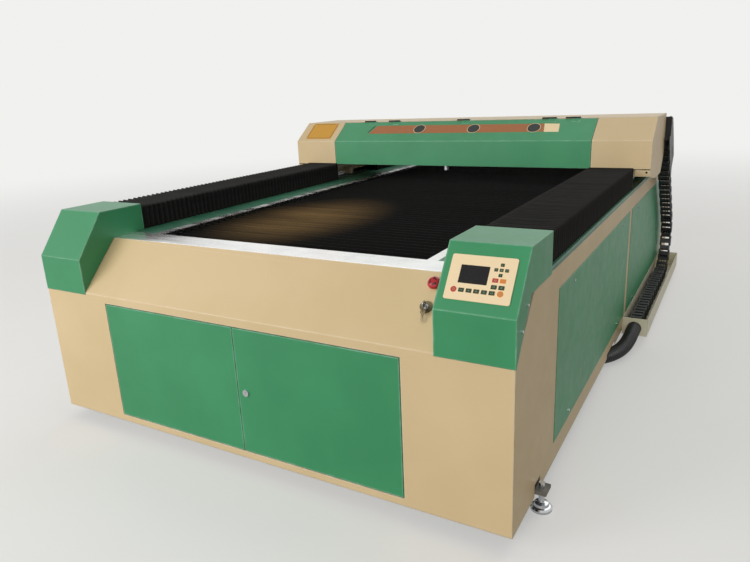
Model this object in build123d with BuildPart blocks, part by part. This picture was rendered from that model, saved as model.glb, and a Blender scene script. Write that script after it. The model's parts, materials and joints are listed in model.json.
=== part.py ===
from build123d import *
from math import atan2, cos, degrees, hypot, pi, radians, sin, tan
import os

os.makedirs("parts", exist_ok=True)

# A flat-bed carbon dioxide laser cutter. All sizes are in millimetres.
# Working coordinates: x to the right from the bed's centre line, y back from the front sheet's
# face, z up from the floor. The planes below carry them into the part's own frame, whose origin
# lies on the floor under the middle of the whole machine.

# Overall sizes of the bed
body_width = 2050.0
body_length = 3800.0
half_width = body_width / 2
body_middle = body_length / 2
deck_height = 805.0
skirt_height = 57.0
sheet = 2.0
bend_radius = 3.0
seam = 0.5

# Folded front sheet
bend_height = 610.5
slope_depth = 180.0
flange_back = 292.0
trim_thickness = 2.0
flange_height = deck_height - trim_thickness

# Frame tubes
tube = 60.0
tube_wall = 3.0
rail_tube_width = 100.0
rail_bottom = 80.0
deck_plate_thickness = 4.0
tube_top = deck_height - deck_plate_thickness
inner_tube_x = half_width - 380.0
post_stations = (190.0, body_middle - 30.0, body_length - 250.0)
motor_station = body_length - 430.0
gland_station = body_middle - 524.0
table_stations = (
    post_stations[0], (post_stations[0] + post_stations[1]) / 2, post_stations[1],
    (post_stations[1] + motor_station) / 2, motor_station, post_stations[2],
)
floor_stations = (30.0, post_stations[0], gland_station, body_middle + 500.0, post_stations[2])

# Feet
foot_y = 259.0
foot_x = half_width + 15.0
foot_radius = 36.0
stud_radius = 10.0
stud_top = 100.0
lug_thickness = 12.0
lug_width = 60.0
lug_reach = half_width + 37.0
nut_height = 12.0
nut_across = 30.0

# Doors
door_side = half_width - 361.0
door_low = 87.5
door_high = 575.5
door_depth = 18.0
door_split = 3.0
door_gap = 3.0
return_depth = 20.0
pivot_inset = 6.0
pivot_radius = 2.5
pivot_head_radius = 3.9
pivot_head = 3.0
pin_clearance = 0.05
lock_x = 37.0
lock_z = 330.0
lock_radius = 10.0
lock_reach = 5.0
cam_length = 53.0
cam_width = 16.0

# Side windows, their panels and the screws that hold them
panel_margin = 450.0
panel_divider = 70.0
panel_low = 138.0
panel_high = 706.0
panel_lap = 16.0
lip_drop = 16.0
screw_inset_y = 207.0
screw_inset_z = 29.0
screw_across = 9.0
screw_head = 4.0

# Cutting table
trim_inner = half_width - 400.0
trim_outer = half_width - 360.0
table_front = 295.0
table_back = body_length - 400.0
comb_thickness = 4.0
comb_base = 11.0
comb_height = 61.0
blade_pitch = 43.0
blade_thickness = 3.0
blade_height = 43.0
blade_bevel = 4.0
blade_play = 0.2
tray_depth = 80.0
tray_rim = 22.0

# End boxes over the bellows' ends
box_inner = half_width - 245.5
box_front = -sheet
box_low = 603.0
box_bend = 748.0
box_top_front = 128.0
box_top = 921.0
box_back = 341.0
box_side_low = 784.0
box_side_bend = 129.0
box_clearance = 1.0
box_screws = ((44.0, 700.0), (90.0, 762.0))

# Control panel on the right front box
panel_left = box_inner + 23.5
panel_right = panel_left + 195.0
panel_foot = 36.0
panel_head = 174.0
panel_thickness = 3.0
panel_corner = 6.0
screen_left = panel_left + 33.0
screen_right = screen_left + 86.0
screen_foot = 87.0
screen_head = 143.0
screen_recess = 1.5
screen_glass = 1.2
key_rise = 0.8
key_size = (17.0, 12.5)
arrow_size = (11.0, 10.0)
round_key = 9.0

# Emergency stop and key switch on the front sheet's slope
stop_x = box_inner - 58.5
stop_up = 219.0
stop_radius = 21.0
stop_collar = 15.0
stop_collar_height = 6.0
stop_travel = 4.0
stop_cap = 14.0
stop_brim = 4.0
stop_stem = 6.0
stop_block = 30.0
stop_block_depth = 42.0
cut_out = 11.2
barrel = 11.0
switch_x = box_inner - 64.5
switch_up = 140.0
switch_collar = 19.5
switch_collar_height = 5.0
core_radius = 8.0
core_depth = 20.0
key_bow = 11.0
key_blade = 9.0
key_blade_thickness = 2.4

# Guide rails, carriages and belts along the bed
rail_x = half_width - 70.0
rail_width = 20.0
rail_height = 17.5
rail_front = 300.0
rail_back = body_length - 300.0
carriage_width = 44.0
carriage_length = 78.0
carriage_bottom = 5.0
carriage_top = 30.0
carriage_play = 0.2
belt_x = rail_x - 97.0
belt_width = 16.0
belt_thickness = 2.0
belt_play = 0.2
pulley_radius = 25.0
pulley_width = 18.0
pulley_flange = 2.5
flange_thickness = 1.5
belt_axis_z = 787.0
idler_y = 365.0
shaft_y = body_length - 340.0
shaft_radius = 10.0
axle_radius = 6.0
bearing_block = 30.0
bearing_half = 24.0
motor_square = 80.0
motor_x = -300.0
motor_drop = 150.0
slot_clearance = 6.0

# Gantry, at the place where the machine stands parked
gantry_front = body_middle + 51.0
gantry_depth = 520.0
gantry_half = half_width + 72.0
gantry_low = 907.5
hood_bend = 1052.0
hood_slope = 149.0
gantry_top = 1160.0
hood_half = gantry_half - 298.0
cap_gap = 2.0
leg_inner = rail_x - 70.0
leg_outer = rail_x + 35.0
leg_wall = 6.0
beam_front = 189.0
beam_size = 100.0
beam_wall = 5.0
end_plate_low = 838.0
end_plate_front_low = 868.0
end_plate_rear_low = 928.0
rear_cover_depth = 514.0
corner_tab_inner = gantry_half - 76.0
corner_tab_height = 33.0
corner_tab_hole = 5.0

# Cover hinges
hinge_places = (-614.0, -439.0, 25.0, 537.0, 667.0)
hinge_length = 80.0
hinge_barrel = 4.0
hinge_pin = 1.5
hinge_leaf = 1.5
hinge_leaf_width = 26.0
hinge_play = 0.3

# Laser tube and beam path
beam_height = 1020.0
tube_y = 399.0
tube_radius = 40.0
tube_end_radius = 14.0
tube_left = 175.0 - half_width
tube_right = half_width - 225.0
tube_end = 60.0
holder_places = (-560.0, 500.0)
holder_thickness = 24.0
holder_half = 55.0
holder_play = 0.3
mirror_x = 95.0 - half_width
mirror_half = 20.0
head_y = 29.0

# Cross rail, belt and motor on the gantry
x_rail_half = half_width - 245.0
x_rail_height = 15.0
x_rail_depth = 12.5
x_rail_low = 980.0
x_belt_y = 161.0
x_belt_width = 10.0
x_belt_thickness = 1.5
x_pulley_radius = 12.0
x_pulley_width = 12.0
x_axle_radius = 4.0
x_pulley_x = half_width - 205.0
x_axis_z = 940.0
x_motor_half = 28.0
x_motor_length = 62.0
motor_plate = 4.0

# Laser head
head_x = -36.0
head_half = 30.0
head_plate = 6.0
head_plate_front = 155.0
head_plate_low = 905.0
head_plate_high = 1040.0
lens_radius = 15.0
lens_wall = 2.0
lens_top = 995.0
nozzle_top = 878.0
nozzle_tip = 856.0
nozzle_tip_radius = 3.0
lens_clearance = 0.05

# Bellows
bellows_inner = box_inner + 9.5
bellows_outer = half_width - 9.0
bellows_top = 913.0
bellows_lift = 0.3
bellows_start = 170.0
bellows_wall = 2.0
pleat_pitch = 28.0
pleat_depth = 12.0
bellows_plate = 3.0

# Floor tray, drag chain and its bracket
tray_inner = half_width
tray_outer = tray_inner + 125.0
tray_low = 40.0
tray_high = 135.0
tray_front = gantry_front - 86.0
tray_back = body_length - 410.0
tray_plate_play = 0.3
hose_hole_x = tray_inner + 61.0
hose_hole_z = 80.0
hose_hole = 32.0
chain_x = tray_inner + 53.5
chain_width = 67.0
chain_height = 64.0
chain_side = 5.0
chain_pitch = 50.0
chain_start = tray_front + 39.0
chain_bar = 14.0
chain_bar_thickness = 5.0
chain_run_links = 23
chain_bend_links = 10
chain_rise_angle = 137.0
chain_rise_links = 18
bracket_sheet = 3.0

# Exhaust collars on the rear
collar_x = 350.0
collar_z = 330.0
collar_radius = 75.0
collar_flange = 92.0
collar_reach = 60.0

# Hose between the tray and the underside of the bed
hose_radius = 36.0
gland_thickness = 6.0
gland_width = 100.0
hose_notch = 210.0
hose_steps = (
    (0, 0, 80), (0, -75, 80), (-2, -149, 71), (-14, -223, 54), (-44, -293, 42),
    (-92, -357, 38), (-156, -407, 38), (-231, -438, 38), (-310, -447, 38),
)
hose_route = [(hose_hole_x + x, tray_front + y, z) for x, y, z in hose_steps]

# The frame's origin, under the middle of everything
right_reach = tray_outer
left_reach = gantry_half
x_mid = (left_reach - right_reach) / 2
y_front = -(body_length + collar_reach - lock_reach) / 2

corner = (Align.MIN, Align.MIN)


def front_plane(y, x=0.0, z=0.0):
    """A plane that faces the front: its x runs right and its y runs up."""
    return Plane(origin=(x_mid + x, y_front + y, z), x_dir=(1, 0, 0), z_dir=(0, -1, 0))


def side_plane(x, y=0.0, z=0.0):
    """A plane that faces right: its x runs back and its y runs up."""
    return Plane(origin=(x_mid + x, y_front + y, z), x_dir=(0, 1, 0), z_dir=(1, 0, 0))


def floor_plane(z, x=0.0, y=0.0):
    """A level plane: its x runs right and its y runs back."""
    return Plane(origin=(x_mid + x, y_front + y, z), x_dir=(1, 0, 0), z_dir=(0, 0, 1))


def slope_plane(low, high, x, up, lift=0.0):
    """A plane on a sloping face from low to high, each a (y, z) pair, at a distance up from low."""
    rise = Vector(0, high[0] - low[0], high[1] - low[1]).normalized()
    outward = Vector(1, 0, 0).cross(rise)
    start = Vector(x_mid + x, y_front + low[0], low[1])
    return Plane(origin=start + rise * up + outward * lift, x_dir=(1, 0, 0), z_dir=outward)


centre_plane = side_plane(0)
middle_plane = front_plane(body_length / 2)
front_slope = ((0.0, bend_height), (slope_depth, flange_height))
box_slope = ((box_front, box_bend), (box_top_front, box_top))


def slope_y(z, depth):
    """Where a line behind the front sheet's slope, depth inside its face, stands at a height."""
    run, rise = slope_depth, flange_height - bend_height
    length = hypot(run, rise)
    return depth * rise / length + (z - bend_height + depth * run / length) * run / rise


def slope_z(y, depth):
    """The height of that line at a distance back."""
    run, rise = slope_depth, flange_height - bend_height
    length = hypot(run, rise)
    return bend_height - depth * run / length + (y - depth * rise / length) * rise / run


# Long tubes of the welded frame, with the idler axles
frame_side = body_width / 2 - sheet
with BuildPart() as bed_rails:
    with BuildSketch(front_plane(sheet)):
        with Locations((frame_side - tube, rail_bottom)):
            Rectangle(tube, tube, align=corner)
        with Locations((frame_side - tube + tube_wall, rail_bottom + tube_wall)):
            Rectangle(tube - 2 * tube_wall, tube - 2 * tube_wall, align=corner, mode=Mode.SUBTRACT)
    extrude(amount=-(body_length - 2 * sheet))
    with BuildSketch(front_plane(post_stations[0])):
        with Locations((frame_side - rail_tube_width, tube_top - tube)):
            Rectangle(rail_tube_width, tube, align=corner)
        with Locations((frame_side - rail_tube_width + tube_wall, tube_top - tube + tube_wall)):
            Rectangle(rail_tube_width - 2 * tube_wall, tube - 2 * tube_wall, align=corner, mode=Mode.SUBTRACT)
    extrude(amount=-(post_stations[-1] + tube - post_stations[0]))
    with BuildSketch(front_plane(table_stations[0])):
        with Locations((inner_tube_x, tube_top - tube)):
            Rectangle(tube, tube, align=corner)
        with Locations((inner_tube_x + tube_wall, tube_top - tube + tube_wall)):
            Rectangle(tube - 2 * tube_wall, tube - 2 * tube_wall, align=corner, mode=Mode.SUBTRACT)
    extrude(amount=-(table_stations[-2] + tube - table_stations[0]))
    with BuildSketch(side_plane(frame_side - rail_tube_width, idler_y, belt_axis_z)):
        Circle(axle_radius)
    extrude(amount=-(frame_side - rail_tube_width - belt_x + pulley_width / 2 + sheet))
    mirror(about=centre_plane)
bed_rails.part.label = "bed_rails"
export_step(bed_rails.part, "parts/bed_rails.step")

# Posts between the bottom and top rails, and the foot lugs under the bottom rails
with BuildPart() as bed_posts:
    with BuildSketch(floor_plane(rail_bottom + tube)):
        for station in post_stations:
            with Locations((frame_side - tube, station)):
                Rectangle(tube, tube, align=corner)
            with Locations((frame_side - tube + tube_wall, station + tube_wall)):
                Rectangle(tube - 2 * tube_wall, tube - 2 * tube_wall, align=corner, mode=Mode.SUBTRACT)
    extrude(amount=tube_top - 2 * tube - rail_bottom)
    with BuildSketch(floor_plane(rail_bottom - lug_thickness)):
        with Locations((frame_side - tube, foot_y - lug_width / 2)):
            Rectangle(lug_reach - frame_side + tube, lug_width, align=corner)
        with Locations((foot_x, foot_y)):
            Circle(stud_radius + pin_clearance, mode=Mode.SUBTRACT)
        with Locations((frame_side - tube, body_length - foot_y - lug_width / 2)):
            Rectangle(lug_reach - frame_side + tube, lug_width, align=corner)
        with Locations((foot_x, body_length - foot_y)):
            Circle(stud_radius + pin_clearance, mode=Mode.SUBTRACT)
    extrude(amount=lug_thickness)
    mirror(about=centre_plane)
bed_posts.part.label = "bed_posts"
export_step(bed_posts.part, "parts/bed_posts.step")

# Cross tubes under the table and on the bottom rails, and the plate that holds the hose's end
cross_half = frame_side - tube
hose_end = Vector(*hose_route[-1])
hose_way = (hose_end - Vector(*hose_route[-2])).normalized()
gland_middle = hose_end + hose_way * gland_thickness / 2
with BuildPart() as bed_cross_tubes:
    with BuildSketch(side_plane(-cross_half)):
        for station in table_stations:
            with Locations((station, tube_top - 2 * tube)):
                Rectangle(tube, tube, align=corner)
            with Locations((station + tube_wall, tube_top - 2 * tube + tube_wall)):
                Rectangle(tube - 2 * tube_wall, tube - 2 * tube_wall, align=corner, mode=Mode.SUBTRACT)
        for station in floor_stations:
            with Locations((station, rail_bottom)):
                Rectangle(tube, tube, align=corner)
            with Locations((station + tube_wall, rail_bottom + tube_wall)):
                Rectangle(tube - 2 * tube_wall, tube - 2 * tube_wall, align=corner, mode=Mode.SUBTRACT)
    extrude(amount=2 * cross_half)
    with BuildSketch(floor_plane(1, gland_middle.X, gland_middle.Y)):
        Rectangle(gland_thickness, gland_width, rotation=degrees(atan2(hose_way.Y, hose_way.X)))
    extrude(amount=rail_bottom - 1)
bed_cross_tubes.part.label = "bed_cross_tubes"
export_step(bed_cross_tubes.part, "parts/bed_cross_tubes.step")

# Levelling feet: a stepped disc turned with its stud, and the lock nut under the lug
with BuildPart() as levelling_feet:
    with BuildSketch(side_plane(foot_x, foot_y)):
        with BuildLine():
            Polyline(
                (0, 0), (foot_radius, 0), (foot_radius, 8), (foot_radius - 5, 13),
                (foot_radius - 11, 15), (foot_radius - 13, 24), (stud_radius, 28),
                (stud_radius, stud_top), (0, stud_top), close=True,
            )
        make_face()
    revolve(axis=Axis((x_mid + foot_x, y_front + foot_y, 0), (0, 0, 1)))
    with BuildSketch(floor_plane(rail_bottom - lug_thickness - nut_height, foot_x, foot_y)):
        RegularPolygon(nut_across / 2, 6, major_radius=False)
        Circle(stud_radius + pin_clearance, mode=Mode.SUBTRACT)
    extrude(amount=nut_height)
    mirror(about=middle_plane)
    mirror(about=centre_plane)
levelling_feet.part.label = "levelling_feet"
export_step(levelling_feet.part, "parts/levelling_feet.step")

# Front sheet: vertical face, slope and top flange in one fold, with the framed door opening
opening_side = door_side + door_gap
opening_low = door_low - door_gap
opening_high = door_high + door_gap
with BuildPart() as front_panel:
    with BuildSketch(side_plane(-body_width / 2)):
        with BuildLine():
            FilletPolyline(
                (0, skirt_height), (0, bend_height), (slope_depth, flange_height),
                (flange_back, flange_height), radius=bend_radius,
            )
            offset(amount=sheet, side=Side.RIGHT)
        make_face()
    extrude(amount=body_width)
    with BuildSketch(front_plane(sheet)):
        with Locations((-opening_side - sheet, opening_low - sheet)):
            Rectangle(2 * (opening_side + sheet), opening_high - opening_low + 2 * sheet, align=corner)
    extrude(amount=-(return_depth - sheet))
    with BuildSketch(front_plane(0)):
        with Locations((-opening_side, opening_low)):
            Rectangle(2 * opening_side, opening_high - opening_low, align=corner)
    extrude(amount=-return_depth, mode=Mode.SUBTRACT)
    with BuildSketch(floor_plane(opening_low - sheet)):
        with Locations((door_side - pivot_inset, pivot_inset), (pivot_inset - door_side, pivot_inset)):
            Circle(pivot_radius + pin_clearance)
    extrude(amount=opening_high - opening_low + 2 * sheet, mode=Mode.SUBTRACT)
    with BuildSketch(slope_plane(*front_slope, stop_x, stop_up)):
        Circle(cut_out)
        with Locations((switch_x - stop_x, switch_up - stop_up)):
            Circle(cut_out)
    extrude(amount=-2 * sheet, mode=Mode.SUBTRACT)
front_panel.part.label = "front_panel"
export_step(front_panel.part, "parts/front_panel.step")

# Rear sheet: the same fold, with the holes behind the exhaust collars
with BuildPart() as rear_panel:
    with BuildSketch(side_plane(-body_width / 2)):
        with BuildLine():
            FilletPolyline(
                (0, skirt_height), (0, bend_height), (slope_depth, flange_height),
                (flange_back, flange_height), radius=bend_radius,
            )
            offset(amount=sheet, side=Side.RIGHT)
        make_face()
    extrude(amount=body_width)
    mirror(about=middle_plane, mode=Mode.REPLACE)
    with BuildSketch(front_plane(body_length - sheet)):
        with Locations((collar_x, collar_z), (-collar_x, collar_z)):
            Circle(collar_radius - sheet)
    extrude(amount=-sheet, mode=Mode.SUBTRACT)
rear_panel.part.label = "rear_panel"
export_step(rear_panel.part, "parts/rear_panel.step")

# Exhaust collars, riveted by their flanges to the rear sheet
with BuildPart() as exhaust_collars:
    with BuildSketch(front_plane(body_length)):
        with Locations((collar_x, collar_z), (-collar_x, collar_z)):
            Circle(collar_flange)
            Circle(collar_radius - sheet, mode=Mode.SUBTRACT)
    extrude(amount=-sheet)
    with BuildSketch(front_plane(body_length)):
        with Locations((collar_x, collar_z), (-collar_x, collar_z)):
            Circle(collar_radius)
            Circle(collar_radius - sheet, mode=Mode.SUBTRACT)
    extrude(amount=-collar_reach)
exhaust_collars.part.label = "exhaust_collars"
export_step(exhaust_collars.part, "parts/exhaust_collars.step")

# Side sheets: two windows each, and notches for the foot lugs and the hose
skin_front = sheet + seam
skin_top = deck_height - lip_drop - seam
panel_length = (body_length - 2 * panel_margin - panel_divider) / 2
panel_starts = (panel_margin, panel_margin + panel_length + panel_divider)
skin_corner = slope_z(skin_front, sheet + seam)
skin_crest = slope_y(skin_top, sheet + seam)
with BuildPart() as side_skins:
    with BuildSketch(side_plane(frame_side)):
        with BuildLine():
            Polyline(
                (skin_front, skirt_height), (skin_front, skin_corner), (skin_crest, skin_top),
                (body_length - skin_crest, skin_top), (body_length - skin_front, skin_corner),
                (body_length - skin_front, skirt_height), close=True,
            )
        make_face()
        for start in panel_starts:
            with Locations((start + panel_lap, panel_low + panel_lap)):
                Rectangle(
                    panel_length - 2 * panel_lap, panel_high - panel_low - 2 * panel_lap,
                    align=corner, mode=Mode.SUBTRACT,
                )
        with Locations((foot_y, rail_bottom), (body_length - foot_y, rail_bottom)):
            Rectangle(lug_width + 2 * sheet, 2 * (rail_bottom - skirt_height), mode=Mode.SUBTRACT)
    extrude(amount=sheet)
    mirror(about=centre_plane)
    with BuildSketch(side_plane(frame_side)):
        with Locations((tray_front - 2 * hose_notch, skirt_height)):
            Rectangle(hose_notch, rail_bottom - skirt_height, align=corner)
    extrude(amount=sheet, mode=Mode.SUBTRACT)
side_skins.part.label = "side_skins"
export_step(side_skins.part, "parts/side_skins.step")

# Removable side panels over the windows
with BuildPart() as side_panels:
    with BuildSketch(side_plane(body_width / 2)):
        for start in panel_starts:
            with Locations((start, panel_low)):
                Rectangle(panel_length, panel_high - panel_low, align=corner)
    extrude(amount=sheet)
    mirror(about=centre_plane)
side_panels.part.label = "side_panels"
export_step(side_panels.part, "parts/side_panels.step")

# Screws of the side panels and of the end boxes
with BuildPart() as panel_screws:
    with BuildSketch(side_plane(body_width / 2 + sheet)):
        for start in panel_starts:
            for y in (start + screw_inset_y, start + panel_length - screw_inset_y):
                with Locations((y, panel_high - screw_inset_z), (y, panel_low + screw_inset_z)):
                    RegularPolygon(screw_across / 2, 6, major_radius=False)
        for y, z in box_screws:
            with Locations((y, z), (body_length - y, z)):
                RegularPolygon(screw_across / 2, 6, major_radius=False)
    extrude(amount=screw_head)
    mirror(about=centre_plane)
panel_screws.part.label = "panel_screws"
export_step(panel_screws.part, "parts/panel_screws.step")

# Deck plates with the turned-down lip, and slots for the belt pulleys
slot_half = pulley_radius + pulley_flange + slot_clearance
with BuildPart() as deck_plates:
    with BuildSketch(front_plane(table_front)):
        with Locations((trim_outer, tube_top)):
            Rectangle(body_width / 2 - trim_outer, deck_plate_thickness, align=corner)
        with Locations((frame_side, deck_height - lip_drop)):
            Rectangle(sheet, lip_drop, align=corner)
    extrude(amount=-(body_length - 2 * table_front))
    with BuildSketch(floor_plane(tube_top)):
        with Locations((belt_x, idler_y), (belt_x, shaft_y)):
            Rectangle(pulley_width + slot_clearance, 2 * slot_half)
    extrude(amount=deck_plate_thickness, mode=Mode.SUBTRACT)
    mirror(about=centre_plane)
deck_plates.part.label = "deck_plates"
export_step(deck_plates.part, "parts/deck_plates.step")

# Bare metal trim: the front and rear ledges and the strips along the table
ledge_half = box_inner - seam
with BuildPart() as table_trim:
    with BuildSketch(floor_plane(flange_height)):
        with Locations((-ledge_half, slope_depth + 1)):
            Rectangle(2 * ledge_half, table_front - seam - slope_depth - 1, align=corner)
        with Locations((seam - trim_outer, table_back)):
            Rectangle(2 * (trim_outer - seam), body_length - slope_depth - table_back, align=corner)
    extrude(amount=trim_thickness)
    with BuildSketch(floor_plane(tube_top)):
        with Locations((trim_inner, table_front), (-trim_outer + seam, table_front)):
            Rectangle(trim_outer - trim_inner - seam, table_back - table_front - seam, align=corner)
    extrude(amount=deck_plate_thickness)
table_trim.part.label = "table_trim"
export_step(table_trim.part, "parts/table_trim.step")

# Toothed combs: each blade stands on a small flat against the upright side of a tooth
comb_front = table_front + 5
comb_foot = tube_top - tube
blade_count = int((table_back - comb_front - 2 * blade_play) // blade_pitch)
notch_width = blade_thickness + 2 * blade_play
with BuildPart() as blade_combs:
    with BuildSketch(side_plane(trim_inner - comb_thickness)):
        with BuildLine():
            teeth = [(comb_front, comb_foot), (comb_front, comb_foot + comb_height)]
            for index in range(blade_count):
                y = comb_front + (index + 1) * blade_pitch - notch_width
                teeth.append((y, comb_foot + comb_height))
                teeth.append((y, comb_foot + comb_base))
                teeth.append((y + notch_width, comb_foot + comb_base))
            teeth.append((y + notch_width, comb_foot))
            Polyline(*teeth, close=True)
        make_face()
    extrude(amount=comb_thickness)
    mirror(about=centre_plane)
blade_combs.part.label = "blade_combs"
export_step(blade_combs.part, "parts/blade_combs.step")

# Knife blades across the table, each with a bevelled top edge
with BuildPart() as knife_blades:
    with BuildSketch(side_plane(blade_play - trim_inner)):
        for index in range(blade_count):
            y = comb_front + (index + 1) * blade_pitch - notch_width + blade_play
            foot = comb_foot + comb_base
            with BuildLine():
                Polyline(
                    (y, foot), (y + blade_thickness, foot),
                    (y + blade_thickness, foot + blade_height - blade_bevel),
                    (y + 1, foot + blade_height), (y, foot + blade_height), close=True,
                )
            make_face()
    extrude(amount=2 * (trim_inner - blade_play))
knife_blades.part.label = "knife_blades"
export_step(knife_blades.part, "parts/knife_blades.step")

# Scrap tray: a folded pan that hangs by its rim from the cross tubes
pan_top = tube_top - 2 * tube
pan_half = trim_inner - comb_thickness
pan_front = table_front
with BuildPart() as scrap_tray:
    with BuildSketch(floor_plane(pan_top - tray_depth)):
        with Locations((-pan_half, pan_front)):
            Rectangle(2 * pan_half, table_back - pan_front, align=corner)
    extrude(amount=tray_depth)
    rim = scrap_tray.faces().sort_by(Axis.Z)[-1]
    offset(amount=-sheet, openings=rim)
    with BuildSketch(floor_plane(pan_top - sheet)):
        with Locations((-pan_half - tray_rim, pan_front)):
            Rectangle(tray_rim, table_back - pan_front, align=corner)
        with Locations((pan_half, pan_front)):
            Rectangle(tray_rim, table_back - pan_front, align=corner)
    extrude(amount=sheet)
scrap_tray.part.label = "scrap_tray"
export_step(scrap_tray.part, "parts/scrap_tray.step")

# End boxes: a folded front, slope and top, an outer side that laps the side sheet, an inner side
box_outer = body_width / 2
inner_rise = flange_height + seam + trim_thickness
inner_low = bend_height + box_clearance
with BuildPart() as end_boxes_front:
    with BuildSketch(side_plane(box_inner)):
        with BuildLine():
            FilletPolyline(
                (box_front, box_low), (box_front, box_bend), (box_top_front, box_top),
                (box_back, box_top), radius=bend_radius,
            )
            offset(amount=sheet, side=Side.RIGHT)
        make_face()
    extrude(amount=box_outer + sheet - box_inner)
    with BuildSketch(side_plane(box_outer)):
        with BuildLine():
            FilletPolyline(
                (box_front, box_low), (box_front, box_bend), (box_top_front, box_top),
                (box_back, box_top), radius=bend_radius,
            )
            Polyline(
                (box_back, box_top), (box_back, box_side_low), (box_side_bend, box_side_low),
                (box_front, box_low),
            )
        make_face()
    extrude(amount=sheet)
    with BuildSketch(side_plane(box_inner)):
        with BuildLine():
            FilletPolyline(
                (box_front, inner_low), (box_front, box_bend), (box_top_front, box_top),
                (box_back, box_top), radius=bend_radius,
            )
            Polyline(
                (box_back, box_top), (box_back, inner_rise), (slope_depth, inner_rise),
                (0, inner_low), (box_front, inner_low),
            )
        make_face()
    extrude(amount=sheet)
    mirror(about=centre_plane)
end_boxes_front.part.label = "end_boxes_front"
export_step(end_boxes_front.part, "parts/end_boxes_front.step")

with BuildPart() as end_boxes_rear:
    add(end_boxes_front.part)
    mirror(about=middle_plane, mode=Mode.REPLACE)
end_boxes_rear.part.label = "end_boxes_rear"
export_step(end_boxes_rear.part, "parts/end_boxes_rear.step")

# Left door: a tray folded from one sheet, turning on pins at its outer edge
door_height = door_high - door_low
door_width = door_side - door_split / 2
with BuildPart() as door_left:
    with BuildSketch(front_plane(0)):
        with Locations((-door_side, door_low)):
            Rectangle(door_width, door_height, align=corner)
    extrude(amount=-door_depth)
    back = door_left.faces().sort_by(Axis.Y)[-1]
    offset(amount=-sheet, openings=back)
    with BuildSketch(floor_plane(door_low, pivot_inset - door_side, pivot_inset)):
        Circle(pivot_radius + pin_clearance)
    extrude(amount=door_height, mode=Mode.SUBTRACT)
door_left.part.label = "door_left"
export_step(door_left.part, "parts/door_left.step")

# Right door: the same, with the hole for the lock
with BuildPart() as door_right:
    add(door_left.part)
    mirror(about=centre_plane, mode=Mode.REPLACE)
    with BuildSketch(front_plane(0, lock_x, lock_z)):
        Circle(lock_radius + pin_clearance)
    extrude(amount=-sheet, mode=Mode.SUBTRACT)
door_right.part.label = "door_right"
export_step(door_right.part, "parts/door_right.step")

# Pivot pins through the returns of the opening into the doors
with BuildPart() as door_pivot_pins:
    with BuildSketch(floor_plane(door_high - sheet - 4, door_side - pivot_inset, pivot_inset)):
        Circle(pivot_radius)
    extrude(amount=sheet + 4 + door_gap + sheet)
    with BuildSketch(floor_plane(opening_high + sheet, door_side - pivot_inset, pivot_inset)):
        Circle(pivot_head_radius)
    extrude(amount=pivot_head)
    with BuildSketch(floor_plane(opening_low - sheet, door_side - pivot_inset, pivot_inset)):
        Circle(pivot_radius)
    extrude(amount=sheet + 4 + door_gap + sheet)
    with BuildSketch(floor_plane(opening_low - sheet - pivot_head, door_side - pivot_inset, pivot_inset)):
        Circle(pivot_head_radius)
    extrude(amount=pivot_head)
    mirror(about=centre_plane)
door_pivot_pins.part.label = "door_pivot_pins"
export_step(door_pivot_pins.part, "parts/door_pivot_pins.step")

# Cam lock: barrel, rim and tongue, drawn unlocked with the tongue upright
with BuildPart() as door_lock:
    with BuildSketch(front_plane(0, lock_x, lock_z)):
        Circle(lock_radius + 3)
    extrude(amount=lock_reach)
    with BuildSketch(front_plane(-lock_reach, lock_x, lock_z)):
        Rectangle(2, 10)
    extrude(amount=-3, mode=Mode.SUBTRACT)
    with BuildSketch(front_plane(0, lock_x, lock_z)):
        Circle(lock_radius)
    extrude(amount=-(door_depth + 4))
    with BuildSketch(front_plane(door_depth + 1, lock_x, lock_z + cam_length / 2 - cam_width / 2)):
        RectangleRounded(cam_width, cam_length, 3)
    extrude(amount=-3)
door_lock.part.label = "door_lock"
export_step(door_lock.part, "parts/door_lock.step")

# Control panel: a rounded plate with the screen's recess and the raised pads of its keypad
arrow_keys = ((55, 46), (39.5, 30.5), (55, 30.5), (70.5, 30.5), (55, 15))
square_keys = (
    (43.5, -1), (65.5, -1), (43.5, -21), (65.5, -21), (-48.5, -39), (-26, -39), (-3.5, -39), (19, -39),
    (41.5, -39),
)
round_keys = ((-71.5, -39), (65.5, -39))
panel_mid = ((panel_left + panel_right) / 2, (panel_foot + panel_head) / 2)
with BuildPart() as control_panel:
    with BuildSketch(slope_plane(*box_slope, *panel_mid)):
        RectangleRounded(panel_right - panel_left, panel_head - panel_foot, panel_corner)
    extrude(amount=panel_thickness)
    with BuildSketch(slope_plane(*box_slope, *panel_mid, panel_thickness)):
        with Locations(*arrow_keys):
            Rectangle(*arrow_size)
        with Locations(*square_keys):
            Rectangle(*key_size)
        with Locations(*round_keys):
            Circle(round_key)
    extrude(amount=key_rise)
    with BuildSketch(slope_plane(*box_slope, 0, 0, panel_thickness)):
        with Locations((screen_left, screen_foot)):
            Rectangle(screen_right - screen_left, screen_head - screen_foot, align=corner)
    extrude(amount=-screen_recess, mode=Mode.SUBTRACT)
control_panel.part.label = "control_panel"
export_step(control_panel.part, "parts/control_panel.step")

# Screen glass, lying on the bottom of the recess
with BuildPart() as display_screen:
    with BuildSketch(slope_plane(*box_slope, 0, 0, panel_thickness - screen_recess)):
        with Locations((screen_left + seam, screen_foot + seam)):
            Rectangle(
                screen_right - screen_left - 2 * seam, screen_head - screen_foot - 2 * seam, align=corner,
            )
    extrude(amount=screen_glass)
display_screen.part.label = "display_screen"
export_step(display_screen.part, "parts/display_screen.step")

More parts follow.
